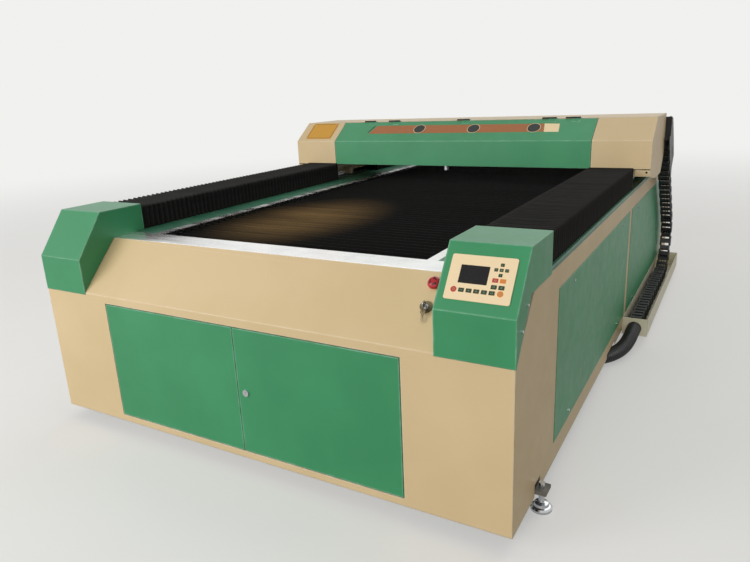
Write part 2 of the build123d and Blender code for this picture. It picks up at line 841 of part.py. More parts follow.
# Emergency stop: collar, threaded barrel and contact block, bored for the button's stem
with BuildPart() as estop_base:
    with BuildSketch(slope_plane(*front_slope, stop_x, stop_up)):
        Circle(stop_collar)
    extrude(amount=stop_collar_height)
    with BuildSketch(slope_plane(*front_slope, stop_x, stop_up)):
        Circle(barrel)
    extrude(amount=-(sheet + 4))
    with BuildSketch(slope_plane(*front_slope, stop_x, stop_up, -sheet - 4)):
        Rectangle(stop_block, stop_block)
    extrude(amount=-stop_block_depth)
    with BuildSketch(slope_plane(*front_slope, stop_x, stop_up, stop_collar_height)):
        Circle(stop_stem + pin_clearance)
    extrude(amount=-(stop_collar_height + 14), mode=Mode.SUBTRACT)
estop_base.part.label = "estop_base"
export_step(estop_base.part, "parts/estop_base.step")

# Mushroom button: a domed cap on its stem
stop_rest = stop_collar_height + stop_travel + 1
stop_axis = slope_plane(*front_slope, stop_x, stop_up, stop_rest)
with BuildPart() as estop_button:
    with BuildSketch(Plane(origin=stop_axis.origin, x_dir=stop_axis.x_dir, z_dir=-stop_axis.y_dir)):
        with BuildLine():
            Polyline(
                (0, stop_cap), (0, 0), (stop_radius, 0), (stop_radius, stop_brim), (0.9 * stop_radius, 8),
                (0.7 * stop_radius, 11.2), (0.4 * stop_radius, 13.3), close=True,
            )
        make_face()
    revolve(axis=Axis(stop_axis.origin, stop_axis.z_dir))
    with BuildSketch(stop_axis):
        Circle(stop_stem)
    extrude(amount=-(stop_rest + 6))
estop_button.part.label = "estop_button"
export_step(estop_button.part, "parts/estop_button.step")

# Key switch: collar and barrel, bored for the core
with BuildPart() as key_switch_base:
    with BuildSketch(slope_plane(*front_slope, switch_x, switch_up)):
        Circle(switch_collar)
    extrude(amount=switch_collar_height)
    with BuildSketch(slope_plane(*front_slope, switch_x, switch_up)):
        Circle(barrel)
    extrude(amount=-(sheet + core_depth + 8))
    with BuildSketch(slope_plane(*front_slope, switch_x, switch_up, switch_collar_height)):
        Circle(core_radius + pin_clearance)
    extrude(amount=-(switch_collar_height + core_depth), mode=Mode.SUBTRACT)
key_switch_base.part.label = "key_switch_base"
export_step(key_switch_base.part, "parts/key_switch_base.step")

# The switch's core with the key in it
key_plane = slope_plane(*front_slope, switch_x, switch_up, switch_collar_height)
with BuildPart() as switch_key:
    with BuildSketch(key_plane):
        Circle(core_radius)
    extrude(amount=-core_depth)
    with BuildSketch(key_plane):
        Circle(core_radius)
    extrude(amount=1.5)
    with BuildSketch(Plane(origin=key_plane.origin, x_dir=key_plane.y_dir, z_dir=key_plane.x_dir)):
        with Locations((0, key_blade / 2 + 1)):
            Rectangle(key_blade, key_blade)
        with Locations((0, key_blade + key_bow)):
            Circle(key_bow)
        with Locations((0, key_blade + key_bow + 5)):
            Circle(2.5, mode=Mode.SUBTRACT)
    extrude(amount=key_blade_thickness / 2, both=True)
switch_key.part.label = "switch_key"
export_step(switch_key.part, "parts/switch_key.step")

# Shelf in the front bay, lying on the bottom cross tubes
shelf_low = rail_bottom + tube
with BuildPart() as equipment_shelf:
    with BuildSketch(front_plane(floor_stations[0])):
        with BuildLine():
            Polyline((-cross_half, shelf_low), (cross_half, shelf_low))
            offset(amount=sheet, side=Side.LEFT)
        make_face()
    extrude(amount=-470)
equipment_shelf.part.label = "equipment_shelf"
export_step(equipment_shelf.part, "parts/equipment_shelf.step")

# Electronics on the shelf: tube power supply with cooling fins, controller and two motor drivers
electronics_low = shelf_low + sheet
with BuildPart() as bay_electronics:
    with BuildSketch(floor_plane(electronics_low)):
        with Locations((-540, 140)):
            Rectangle(190, 320, align=corner)
        with Locations((260, 160)):
            Rectangle(220, 150, align=corner)
    extrude(amount=150)
    with BuildSketch(floor_plane(electronics_low + 150)):
        for fin in range(9):
            with Locations((-530 + fin * 20, 160)):
                Rectangle(6, 280, align=corner)
    extrude(amount=18)
    with BuildSketch(floor_plane(electronics_low)):
        for x in (-60, 60):
            with Locations((x, 160)):
                Rectangle(50, 130, align=corner)
    extrude(amount=190)
bay_electronics.part.label = "bay_electronics"
export_step(bay_electronics.part, "parts/bay_electronics.step")

# Guide rails on the deck plates
with BuildPart() as y_rails:
    with BuildSketch(front_plane(rail_front, rail_x, deck_height)):
        with BuildLine():
            half = rail_width / 2
            Polyline(
                (-half, 0), (half, 0), (half, 5), (half - 3, 9), (half, 13), (half, rail_height),
                (-half, rail_height), (-half, 13), (3 - half, 9), (-half, 5), close=True,
            )
        make_face()
    extrude(amount=-(rail_back - rail_front))
    mirror(about=centre_plane)
y_rails.part.label = "y_rails"
export_step(y_rails.part, "parts/y_rails.step")

# Carriages: blocks that wrap the rails, two under each leg
carriage_places = (gantry_front + 50, gantry_front + gantry_depth - 50 - carriage_length)
with BuildPart() as y_carriages:
    for place in carriage_places:
        with BuildSketch(front_plane(place, rail_x, deck_height)):
            with Locations((0, carriage_bottom)):
                Rectangle(carriage_width, carriage_top - carriage_bottom, align=(Align.CENTER, Align.MIN))
            Rectangle(
                rail_width + 2 * carriage_play, rail_height + carriage_play,
                align=(Align.CENTER, Align.MIN), mode=Mode.SUBTRACT,
            )
        extrude(amount=-carriage_length)
    mirror(about=centre_plane)
y_carriages.part.label = "y_carriages"
export_step(y_carriages.part, "parts/y_carriages.step")

# Closed belts beside the rails
loop_inner = pulley_radius + belt_play
belt_middle = (idler_y + shaft_y) / 2
belt_span = shaft_y - idler_y
with BuildPart() as y_belts:
    with BuildSketch(side_plane(belt_x - belt_width / 2, belt_middle, belt_axis_z)):
        SlotCenterToCenter(belt_span, 2 * (loop_inner + belt_thickness))
        SlotCenterToCenter(belt_span, 2 * loop_inner, mode=Mode.SUBTRACT)
    extrude(amount=belt_width)
    mirror(about=centre_plane)
y_belts.part.label = "y_belts"
export_step(y_belts.part, "parts/y_belts.step")

# Drive shaft across the rear, with its two flanged pulleys
shaft_half = frame_side - rail_tube_width - 4
with BuildPart() as y_drive_shaft:
    with BuildSketch(side_plane(-shaft_half, shaft_y, belt_axis_z)):
        Circle(shaft_radius)
    extrude(amount=2 * shaft_half)
    for x in (belt_x, -belt_x):
        with BuildSketch(side_plane(x - pulley_width / 2, shaft_y, belt_axis_z)):
            Circle(pulley_radius)
        extrude(amount=pulley_width)
        for edge in (x - pulley_width / 2 - flange_thickness, x + pulley_width / 2):
            with BuildSketch(side_plane(edge, shaft_y, belt_axis_z)):
                Circle(pulley_radius + pulley_flange)
            extrude(amount=flange_thickness)
y_drive_shaft.part.label = "y_drive_shaft"
export_step(y_drive_shaft.part, "parts/y_drive_shaft.step")

# Bearings of the shaft, bolted to the inner faces of the rail tubes
bearing_outer = frame_side - rail_tube_width
with BuildPart() as y_shaft_bearings:
    with BuildSketch(side_plane(bearing_outer - bearing_block, shaft_y, belt_axis_z)):
        with Locations((0, (tube_top - belt_axis_z - bearing_half) / 2)):
            Rectangle(2 * bearing_half, tube_top - belt_axis_z + bearing_half)
        Circle(shaft_radius + pin_clearance, mode=Mode.SUBTRACT)
    extrude(amount=bearing_block)
    mirror(about=centre_plane)
y_shaft_bearings.part.label = "y_shaft_bearings"
export_step(y_shaft_bearings.part, "parts/y_shaft_bearings.step")

# Geared motor that hangs from the last table tube and turns the shaft through a hollow gearbox
motor_front = table_stations[-2] + tube
with BuildPart() as y_motor:
    with BuildSketch(side_plane(motor_x - motor_square / 2)):
        with Locations((motor_front, tube_top - tube - motor_drop)):
            Rectangle(motor_square, motor_drop, align=corner)
        with Locations((motor_front, tube_top - tube)):
            Rectangle(2 * (shaft_y - motor_front), tube - 2, align=corner)
        with Locations((shaft_y, belt_axis_z)):
            Circle(shaft_radius + pin_clearance, mode=Mode.SUBTRACT)
    extrude(amount=motor_square)
y_motor.part.label = "y_motor"
export_step(y_motor.part, "parts/y_motor.step")

# Idler pulleys at the front ends of the belts
with BuildPart() as y_idler_pulleys:
    with BuildSketch(side_plane(belt_x - pulley_width / 2, idler_y, belt_axis_z)):
        Circle(pulley_radius)
    extrude(amount=pulley_width)
    for edge in (belt_x - pulley_width / 2 - flange_thickness, belt_x + pulley_width / 2):
        with BuildSketch(side_plane(edge, idler_y, belt_axis_z)):
            Circle(pulley_radius + pulley_flange)
        extrude(amount=flange_thickness)
    with BuildSketch(side_plane(belt_x, idler_y, belt_axis_z)):
        Circle(axle_radius + pin_clearance)
    extrude(amount=pulley_width, both=True, mode=Mode.SUBTRACT)
    mirror(about=centre_plane)
y_idler_pulleys.part.label = "y_idler_pulleys"
export_step(y_idler_pulleys.part, "parts/y_idler_pulleys.step")


def pleats(count, start, valley, peak):
    """Points of a zigzag: count pleats from start, between the valley and peak values."""
    points = []
    for index in range(count):
        points.append((start + index * pleat_pitch, valley))
        points.append((start + (index + 0.5) * pleat_pitch, peak))
    points.append((start + count * pleat_pitch, valley))
    return points


def bellows(start, end):
    """One pleated cover on the right rail: an arch of folds with a stiff frame at each end."""
    count = round((end - start - 2 * bellows_plate) / pleat_pitch)
    first = (start + end - count * pleat_pitch) / 2
    middle = (bellows_inner + bellows_outer) / 2
    half = (bellows_outer - bellows_inner) / 2
    low = deck_height + bellows_lift
    hollow_half = half - pleat_depth - bellows_wall
    hollow_top = bellows_top - pleat_depth - bellows_wall
    with BuildPart() as cover:
        with BuildSketch(floor_plane(low, middle)):
            with BuildLine():
                right = [(x, y) for y, x in pleats(count, first, half - pleat_depth, half)]
                left = [(-x, y) for x, y in reversed(right)]
                Polyline(*(right + left), close=True)
            make_face()
        extrude(amount=bellows_top - low)
        with BuildSketch(side_plane(middle - half)):
            with BuildLine():
                crest = pleats(count, first, bellows_top - pleat_depth, bellows_top)
                Polyline((first, low), *crest, (first + count * pleat_pitch, low), close=True)
            make_face()
        extrude(amount=2 * half, mode=Mode.INTERSECT)
        for place in (start, first + count * pleat_pitch):
            with BuildSketch(front_plane(place, middle, low)):
                Rectangle(2 * half, bellows_top - low, align=(Align.CENTER, Align.MIN))
            extrude(amount=-(first - start))
        with BuildSketch(front_plane(start, middle, low)):
            Rectangle(2 * hollow_half, hollow_top - low, align=(Align.CENTER, Align.MIN))
        extrude(amount=-(end - start), mode=Mode.SUBTRACT)
    return cover.part


# Bellows between the front boxes and the gantry, and between the gantry and the rear boxes
right_front_bellows = bellows(bellows_start, gantry_front)
with BuildPart() as bellows_front:
    add(right_front_bellows)
    mirror(about=centre_plane)
bellows_front.part.label = "bellows_front"
export_step(bellows_front.part, "parts/bellows_front.step")

right_rear_bellows = bellows(gantry_front + gantry_depth, body_length - bellows_start)
with BuildPart() as bellows_rear:
    add(right_rear_bellows)
    mirror(about=centre_plane)
bellows_rear.part.label = "bellows_rear"
export_step(bellows_rear.part, "parts/bellows_rear.step")

# Gantry beam: a rectangular tube across the bed, with the idler's axle on its front
beam_y = gantry_front + beam_front
beam_half = gantry_half - sheet
with BuildPart() as gantry_beam:
    with BuildSketch(side_plane(-beam_half)):
        with Locations((beam_y, gantry_low)):
            Rectangle(beam_size, beam_size, align=corner)
        with Locations((beam_y + beam_wall, gantry_low + beam_wall)):
            Rectangle(beam_size - 2 * beam_wall, beam_size - 2 * beam_wall, align=corner, mode=Mode.SUBTRACT)
    extrude(amount=2 * beam_half)
    with BuildSketch(front_plane(beam_y, -x_pulley_x, x_axis_z)):
        Circle(2 * x_axle_radius)
    extrude(amount=beam_y - gantry_front - x_belt_y - x_pulley_width - 1)
    with BuildSketch(front_plane(beam_y, -x_pulley_x, x_axis_z)):
        Circle(x_axle_radius)
    extrude(amount=beam_y - gantry_front - x_belt_y + 1)
gantry_beam.part.label = "gantry_beam"
export_step(gantry_beam.part, "parts/gantry_beam.step")

# Legs: welded boxes on the carriages, with the clamps that reach over the belts
leg_low = deck_height + carriage_top
clamp_low = belt_axis_z + loop_inner + belt_thickness + belt_play
clamp_y = gantry_front + gantry_depth / 2
with BuildPart() as gantry_legs:
    with BuildSketch(front_plane(gantry_front)):
        with Locations((leg_inner, leg_low)):
            Rectangle(leg_outer - leg_inner, gantry_low - leg_low, align=corner)
        with Locations((leg_inner + leg_wall, leg_low + leg_wall)):
            Rectangle(
                leg_outer - leg_inner - 2 * leg_wall, gantry_low - leg_low - 2 * leg_wall,
                align=corner, mode=Mode.SUBTRACT,
            )
    extrude(amount=-gantry_depth)
    with BuildSketch(front_plane(clamp_y - 20)):
        with Locations((belt_x - belt_width / 2, clamp_low)):
            Rectangle(leg_inner - belt_x + belt_width / 2, leg_low + 20 - clamp_low, align=corner)
    extrude(amount=-40)
    mirror(about=centre_plane)
gantry_legs.part.label = "gantry_legs"
export_step(gantry_legs.part, "parts/gantry_legs.step")

# Base plate behind the beam
plate_front = beam_y + beam_size + seam
rear_y = gantry_front + rear_cover_depth
with BuildPart() as gantry_base_plate:
    with BuildSketch(floor_plane(gantry_low)):
        with Locations((-beam_half, plate_front)):
            Rectangle(2 * beam_half, rear_y - 2 * sheet - plate_front, align=corner)
    extrude(amount=sheet)
gantry_base_plate.part.label = "gantry_base_plate"
export_step(gantry_base_plate.part, "parts/gantry_base_plate.step")

# End caps: a folded front and slope, and the end plate that hides the leg
hood_top_y = gantry_front + hood_slope
cap_inner = hood_half + cap_gap
with BuildPart() as gantry_end_caps:
    with BuildSketch(side_plane(cap_inner)):
        with BuildLine():
            FilletPolyline(
                (gantry_front, gantry_low), (gantry_front, hood_bend), (hood_top_y, gantry_top),
                radius=bend_radius,
            )
            offset(amount=sheet, side=Side.RIGHT)
        make_face()
    extrude(amount=beam_half - cap_inner)
    with BuildSketch(side_plane(beam_half)):
        with BuildLine():
            Polyline(
                (gantry_front, end_plate_front_low), (gantry_front, hood_bend), (hood_top_y, gantry_top),
                (rear_y, gantry_top), (rear_y, end_plate_rear_low), (rear_y - 85, end_plate_low),
                (gantry_front + 189, end_plate_low), close=True,
            )
        make_face()
    extrude(amount=sheet)
    with BuildSketch(front_plane(gantry_front)):
        with Locations((corner_tab_inner, end_plate_front_low + 2)):
            Rectangle(gantry_half - corner_tab_inner, corner_tab_height, align=corner)
        with Locations((gantry_half - 19, end_plate_front_low + 23)):
            Circle(corner_tab_hole, mode=Mode.SUBTRACT)
    extrude(amount=-sheet)
    mirror(about=centre_plane)
gantry_end_caps.part.label = "gantry_end_caps"
export_step(gantry_end_caps.part, "parts/gantry_end_caps.step")

# Top cover: the flat top with its rear wall folded down
with BuildPart() as gantry_top_cover:
    with BuildSketch(side_plane(seam - beam_half)):
        with BuildLine():
            FilletPolyline(
                (hood_top_y + sheet, gantry_top), (rear_y, gantry_top), (rear_y, gantry_low + 4),
                radius=bend_radius,
            )
            offset(amount=sheet, side=Side.RIGHT)
        make_face()
    extrude(amount=2 * (beam_half - seam))
gantry_top_cover.part.label = "gantry_top_cover"
export_step(gantry_top_cover.part, "parts/gantry_top_cover.step")

# Hinged hood over the head's path: front and slope in one fold, with the moving hinge leaves
hinge_y = hood_top_y
hinge_z = gantry_top + hinge_barrel
hood_slope_line = ((gantry_front, hood_bend), (hood_top_y, gantry_top))
slope_length = hypot(hood_slope, gantry_top - hood_bend)
hood_end = slope_length - 4
with BuildPart() as gantry_front_cover:
    with BuildSketch(side_plane(-hood_half)):
        with BuildLine():
            FilletPolyline(
                (gantry_front, gantry_low), (gantry_front, hood_bend),
                (gantry_front + hood_slope * hood_end / slope_length,
                 hood_bend + (gantry_top - hood_bend) * hood_end / slope_length),
                radius=bend_radius,
            )
            offset(amount=sheet, side=Side.RIGHT)
        make_face()
    extrude(amount=2 * hood_half)
    for place in hinge_places:
        with BuildSketch(slope_plane(*hood_slope_line, place, hood_end - hinge_leaf_width)):
            Rectangle(hinge_length / 2 - hinge_play, hinge_leaf_width + 3, align=corner)
        extrude(amount=hinge_leaf)
        with BuildSketch(side_plane(place + hinge_play, hinge_y, hinge_z)):
            Circle(hinge_barrel)
            Circle(hinge_pin + pin_clearance, mode=Mode.SUBTRACT)
        extrude(amount=hinge_length / 2 - hinge_play)
gantry_front_cover.part.label = "gantry_front_cover"
export_step(gantry_front_cover.part, "parts/gantry_front_cover.step")

# Fixed halves of the hinges on the top cover, with their pins
with BuildPart() as cover_hinges_fixed:
    for place in hinge_places:
        with BuildSketch(side_plane(place - hinge_length / 2, hinge_y, hinge_z)):
            Circle(hinge_barrel)
        extrude(amount=hinge_length / 2)
        with BuildSketch(side_plane(place, hinge_y, hinge_z)):
            Circle(hinge_pin)
        extrude(amount=hinge_length / 2)
        with BuildSketch(floor_plane(gantry_top, place, hood_top_y)):
            with Locations((-hinge_length / 2, 1)):
                Rectangle(hinge_length / 2, hinge_leaf_width, align=corner)
            with Locations((0, 10)):
                Rectangle(hinge_length / 2, hinge_leaf_width - 9, align=corner)
        extrude(amount=hinge_leaf)
cover_hinges_fixed.part.label = "cover_hinges_fixed"
export_step(cover_hinges_fixed.part, "parts/cover_hinges_fixed.step")

# Glass laser tube, narrowed at both ends
tube_axis_y = gantry_front + tube_y
with BuildPart() as laser_tube:
    with BuildSketch(front_plane(tube_axis_y, 0, beam_height)):
        with BuildLine():
            Polyline(
                (tube_left, 0), (tube_left, tube_end_radius), (tube_left + tube_end, tube_end_radius),
                (tube_left + tube_end + 14, tube_radius), (tube_right - tube_end - 14, tube_radius),
                (tube_right - tube_end, tube_end_radius), (tube_right, tube_end_radius),
                (tube_right, 0), close=True,
            )
        make_face()
    revolve(axis=Axis((x_mid, y_front + tube_axis_y, beam_height), (1, 0, 0)))
laser_tube.part.label = "laser_tube"
export_step(laser_tube.part, "parts/laser_tube.step")

# Tube holders on the base plate
with BuildPart() as tube_holders:
    for place in holder_places:
        with BuildSketch(side_plane(place - holder_thickness / 2, tube_axis_y)):
            with Locations((-holder_half, gantry_low + sheet)):
                Rectangle(2 * holder_half, beam_height - gantry_low - sheet, align=corner)
            with Locations((0, beam_height)):
                Circle(holder_half)
                Circle(tube_radius + holder_play, mode=Mode.SUBTRACT)
        extrude(amount=holder_thickness)
tube_holders.part.label = "tube_holders"
export_step(tube_holders.part, "parts/tube_holders.step")

# First mirror on the base plate behind the tube's end, second on an arm from the beam
head_line = gantry_front + head_y
with BuildPart() as mirror_mounts:
    with BuildSketch(floor_plane(gantry_low + sheet, mirror_x, tube_axis_y)):
        with BuildLine():
            Polyline(
                (-mirror_half, -mirror_half), (mirror_half, mirror_half), (-mirror_half, mirror_half),
                close=True,
            )
        make_face()
    extrude(amount=beam_height + mirror_half - gantry_low - sheet)
    with BuildSketch(floor_plane(gantry_low + beam_size, mirror_x)):
        with Locations((-mirror_half, head_line - mirror_half)):
            Rectangle(2 * mirror_half, beam_y + beam_size - head_line + mirror_half, align=corner)
    extrude(amount=4)
    with BuildSketch(floor_plane(gantry_low + beam_size, mirror_x, head_line)):
        with BuildLine():
            Polyline(
                (-mirror_half, -mirror_half), (mirror_half, -mirror_half), (-mirror_half, mirror_half),
                close=True,
            )
        make_face()
    extrude(amount=beam_height + mirror_half - gantry_low - beam_size)
mirror_mounts.part.label = "mirror_mounts"
export_step(mirror_mounts.part, "parts/mirror_mounts.step")

# Cross rail on the beam's front face
with BuildPart() as x_rail:
    with BuildSketch(side_plane(-x_rail_half, beam_y, x_rail_low)):
        with BuildLine():
            Polyline(
                (0, 0), (0, x_rail_height), (-x_rail_depth, x_rail_height), (-x_rail_depth, 11),
                (3 - x_rail_depth, 7.5), (-x_rail_depth, 4), (-x_rail_depth, 0), close=True,
            )
        make_face()
    extrude(amount=2 * x_rail_half)
x_rail.part.label = "x_rail"
export_step(x_rail.part, "parts/x_rail.step")

# Cross belt
x_loop_inner = x_pulley_radius + belt_play
x_belt_front = gantry_front + x_belt_y
with BuildPart() as x_belt:
    with BuildSketch(front_plane(x_belt_front, 0, x_axis_z)):
        SlotCenterToCenter(2 * x_pulley_x, 2 * (x_loop_inner + x_belt_thickness))
        SlotCenterToCenter(2 * x_pulley_x, 2 * x_loop_inner, mode=Mode.SUBTRACT)
    extrude(amount=-x_belt_width)
x_belt.part.label = "x_belt"
export_step(x_belt.part, "parts/x_belt.step")

# Cross motor: body, front plate and the bracket to the beam
motor_face = x_belt_front - 3
motor_high = x_axis_z + x_motor_half
with BuildPart() as x_motor:
    with BuildSketch(front_plane(motor_face, x_pulley_x, x_axis_z)):
        RectangleRounded(2 * x_motor_half, 2 * x_motor_half, 5)
    extrude(amount=x_motor_length)
    with BuildSketch(floor_plane(motor_high, x_pulley_x)):
        with Locations((-x_motor_half, motor_face - x_motor_length)):
            Rectangle(2 * x_motor_half, beam_y - motor_face + x_motor_length, align=corner)
    extrude(amount=motor_plate)
    with BuildSketch(front_plane(motor_face, x_pulley_x, x_axis_z)):
        Circle(x_axle_radius)
    extrude(amount=-(3 + x_pulley_width))
x_motor.part.label = "x_motor"
export_step(x_motor.part, "parts/x_motor.step")

# Pulleys of the cross belt: the motor's on the right, the idler on the left
with BuildPart() as x_drive_pulley:
    with BuildSketch(front_plane(x_belt_front - 1, x_pulley_x, x_axis_z)):
        Circle(x_pulley_radius)
        Circle(x_axle_radius + pin_clearance, mode=Mode.SUBTRACT)
    extrude(amount=-x_pulley_width)
x_drive_pulley.part.label = "x_drive_pulley"
export_step(x_drive_pulley.part, "parts/x_drive_pulley.step")

with BuildPart() as x_idler_pulley:
    add(x_drive_pulley.part)
    mirror(about=centre_plane, mode=Mode.REPLACE)
x_idler_pulley.part.label = "x_idler_pulley"
export_step(x_idler_pulley.part, "parts/x_idler_pulley.step")

# Laser head: carriage on the cross rail, plate, mirror housing, lens holder and belt clamp
head_plate_y = gantry_front + head_plate_front
slide_front = head_plate_y + head_plate
slide_back = beam_y - 4
with BuildPart() as laser_head:
    with BuildSketch(front_plane(slide_front, head_x)):
        with Locations((-head_half, x_rail_low - 15)):
            Rectangle(2 * head_half, x_rail_height + 30, align=corner)
    extrude(amount=-(slide_back - slide_front))
    with BuildSketch(side_plane(head_x - head_half, beam_y, x_rail_low)):
        with Locations((-x_rail_depth - carriage_play, -carriage_play)):
            Rectangle(x_rail_depth + carriage_play, x_rail_height + 2 * carriage_play, align=corner)
    extrude(amount=2 * head_half, mode=Mode.SUBTRACT)
    with BuildSketch(front_plane(head_plate_y, head_x)):
        with Locations((-head_half, head_plate_low)):
            Rectangle(2 * head_half, head_plate_high - head_plate_low, align=corner)
    extrude(amount=-head_plate)
    with BuildSketch(front_plane(head_line - mirror_half, head_x, beam_height)):
        with BuildLine():
            Polyline(
                (mirror_half, -mirror_half), (mirror_half, mirror_half), (-mirror_half, mirror_half),
                close=True,
            )
        make_face()
    extrude(amount=-2 * mirror_half)
    with BuildSketch(front_plane(head_line + mirror_half, head_x, beam_height)):
        Rectangle(mirror_half, mirror_half, align=corner)
    extrude(amount=-(head_plate_y - head_line - mirror_half))
    with BuildSketch(floor_plane(x_axis_z + 5, head_x, head_line)):
        with Locations((-mirror_half, 0)):
            Rectangle(2 * mirror_half, head_plate_y - head_line, align=corner)
        Circle(mirror_half)
        Circle(lens_radius + lens_clearance, mode=Mode.SUBTRACT)
    extrude(amount=14)
    with BuildSketch(side_plane(head_x - head_half, 0, x_axis_z)):
        with Locations((slide_front, x_loop_inner + x_belt_thickness + belt_play)):
            Rectangle(x_belt_width + 2, 9, align=corner)
    extrude(amount=2 * head_half)
laser_head.part.label = "laser_head"
export_step(laser_head.part, "parts/laser_head.step")

# Lens tube with its nozzle, sliding in the head's holder
with BuildPart() as lens_tube:
    with BuildSketch(front_plane(head_line, head_x)):
        with BuildLine():
            Polyline(
                (nozzle_tip_radius - 1, nozzle_tip), (nozzle_tip_radius + 1, nozzle_tip),
                (lens_radius - 5, nozzle_top), (lens_radius, nozzle_top + 4), (lens_radius, lens_top),
                (lens_radius - lens_wall, lens_top), (lens_radius - lens_wall, nozzle_top + 6), close=True,
            )
        make_face()
    revolve(axis=Axis((x_mid + head_x, y_front + head_line, 0), (0, 0, 1)))
lens_tube.part.label = "lens_tube"
export_step(lens_tube.part, "parts/lens_tube.step")

# Floor tray of the chain: a folded channel, open above, and a front plate with the hose's hole
channel_front = tray_front + sheet + tray_plate_play
with BuildPart() as chain_tray:
    with BuildSketch(floor_plane(tray_low)):
        with Locations((tray_inner, channel_front)):
            Rectangle(tray_outer - tray_inner, tray_back - channel_front, align=corner)
    extrude(amount=tray_high - tray_low)
    mouth = chain_tray.faces().sort_by(Axis.Z)[-1]
    front_end = chain_tray.faces().sort_by(Axis.Y)[0]
    offset(amount=-sheet, openings=[mouth, front_end])
    with BuildSketch(front_plane(tray_front)):
        with Locations((tray_inner, tray_low)):
            Rectangle(tray_outer - tray_inner, tray_high - tray_low, align=corner)
        with Locations((hose_hole_x, hose_hole_z)):
            Circle(hose_hole, mode=Mode.SUBTRACT)
    extrude(amount=-sheet)
chain_tray.part.label = "chain_tray"
export_step(chain_tray.part, "parts/chain_tray.step")


def chain_link(place, along, wide):
    """One link in the plane of the chain, from its front joint along a direction in degrees."""
    joint = Plane(origin=place, x_dir=(0, cos(radians(along)), sin(radians(along))), z_dir=(1, 0, 0))
    outer = chain_width / 2 - (0 if wide else chain_side)
    half = chain_height / 2
    nose = 9.0
    with BuildPart() as link:
        with BuildSketch(joint.offset(outer - chain_side)):
            with BuildLine():
                Polyline(
                    (-nose, -half + 8), (-nose, half - 8), (4, half), (chain_pitch - 4, half),
                    (chain_pitch + nose, half - 8), (chain_pitch + nose, -half + 8),
                    (chain_pitch - 4, -half), (4, -half), close=True,
                )
            make_face()
        extrude(amount=chain_side)
        with BuildSketch(joint.offset(-outer)):
            with BuildLine():
                Polyline(
                    (-nose, -half + 8), (-nose, half - 8), (4, half), (chain_pitch - 4, half),
                    (chain_pitch + nose, half - 8), (chain_pitch + nose, -half + 8),
                    (chain_pitch - 4, -half), (4, -half), close=True,
                )
            make_face()
        extrude(amount=chain_side)
        with BuildSketch(joint.offset(chain_side - outer)):
            for level in (half - chain_bar_thickness / 2, chain_bar_thickness / 2 - half):
                with Locations((chain_pitch / 2, level)):
                    Rectangle(chain_bar, chain_bar_thickness)
        extrude(amount=2 * (outer - chain_side))
    return link.part


def chain_links(count, place, along, turn, first):
    """A row of links that each turn by the same angle, and the place and angle that come next."""
    links = []
    for index in range(count):
        along += turn
        links.append(chain_link(place, along, (first + index) % 2 == 0))
        place = place + Vector(0, cos(radians(along)), sin(radians(along))) * chain_pitch
    return links, place, along


# Drag chain: the part that lies in the tray, and the loop that bends up to the gantry
chain_level = tray_low + sheet + chain_height / 2
chain_turn = chain_rise_angle / chain_bend_links
run_start = Vector(x_mid + chain_x, y_front + chain_start, chain_level)
run_links, bend_start, run_along = chain_links(chain_run_links, run_start, 0.0, 0.0, 0)
bend_links, rise_start, bend_along = chain_links(
    chain_bend_links, bend_start, run_along, chain_turn, chain_run_links,
)
rise_links, chain_end, rise_along = chain_links(
    chain_rise_links, rise_start, bend_along, 0.0, chain_run_links + chain_bend_links,
)
drag_chain_run = Compound(label="drag_chain_run", children=run_links)
export_step(drag_chain_run, "parts/drag_chain_run.step")
drag_chain_loop = Compound(label="drag_chain_loop", children=bend_links + rise_links)
export_step(drag_chain_loop, "parts/drag_chain_loop.step")

# Bracket on the gantry's rear that carries the chain's end: base, ear against the last link, wing
bracket_y = rear_y
bracket_side = gantry_half + 28
with BuildPart() as chain_bracket:
    with BuildSketch(front_plane(bracket_y)):
        with Locations((chain_x - chain_width / 2 - 5, 1010)):
            Rectangle(bracket_side + bracket_sheet - chain_x + chain_width / 2 + 5, 130, align=corner)
    extrude(amount=-bracket_sheet)
    with BuildSketch(side_plane(chain_x + chain_width / 2, bracket_y)):
        with Locations((0, 1030)):
            Rectangle(80, 110, align=corner)
    extrude(amount=bracket_sheet)
    with BuildSketch(side_plane(bracket_side, bracket_y)):
        with BuildLine():
            Polyline(
                (-37, 1034), (0, 1034), (bracket_sheet, 1140), (60, 1128), (180, 1009), (273, 901),
                (165, 784), (-37, 1010), close=True,
            )
        make_face()
        with Locations((150, 930)):
            SlotOverall(90, 16, rotation=-48, mode=Mode.SUBTRACT)
    extrude(amount=bracket_sheet)
chain_bracket.part.label = "chain_bracket"
export_step(chain_bracket.part, "parts/chain_bracket.step")

# Hose from the tray's front plate to the plate under the bed: straight runs with tangent bends,
# each bend as wide as its two runs allow
hose_points = [Vector(x_mid + x, y_front + y, z) for x, y, z in hose_route]
hose_bends = []
for before, point, after in zip(hose_points, hose_points[1:], hose_points[2:]):
    shorter = min((point - before).length, (after - point).length)
    turn = radians((point - before).get_angle(after - point))
    hose_bends.append(0.45 * shorter / tan(turn / 2))
with BuildPart() as cable_hose:
    with BuildLine():
        hose_path = FilletPolyline(*hose_points, radius=hose_bends)
    with BuildSketch(Plane(origin=hose_path @ 0, z_dir=hose_path % 0)):
        Circle(hose_radius)
    sweep()
cable_hose.part.label = "cable_hose"
export_step(cable_hose.part, "parts/cable_hose.step")
print("hose length", round(hose_path.length, 1), "bends", [round(bend) for bend in hose_bends])
print("hose volume", round(cable_hose.part.volume), "of", round(pi * hose_radius ** 2 * hose_path.length))
print("chain ends at", chain_end.Y - y_front, chain_end.Z, "turned", rise_along)
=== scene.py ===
"""The laser cutter's finish: paint, metals, bellows cloth, keypad print, hose and the studio."""
import json
import math

import bmesh
import bpy
import numpy as np
from mathutils import Matrix, Vector


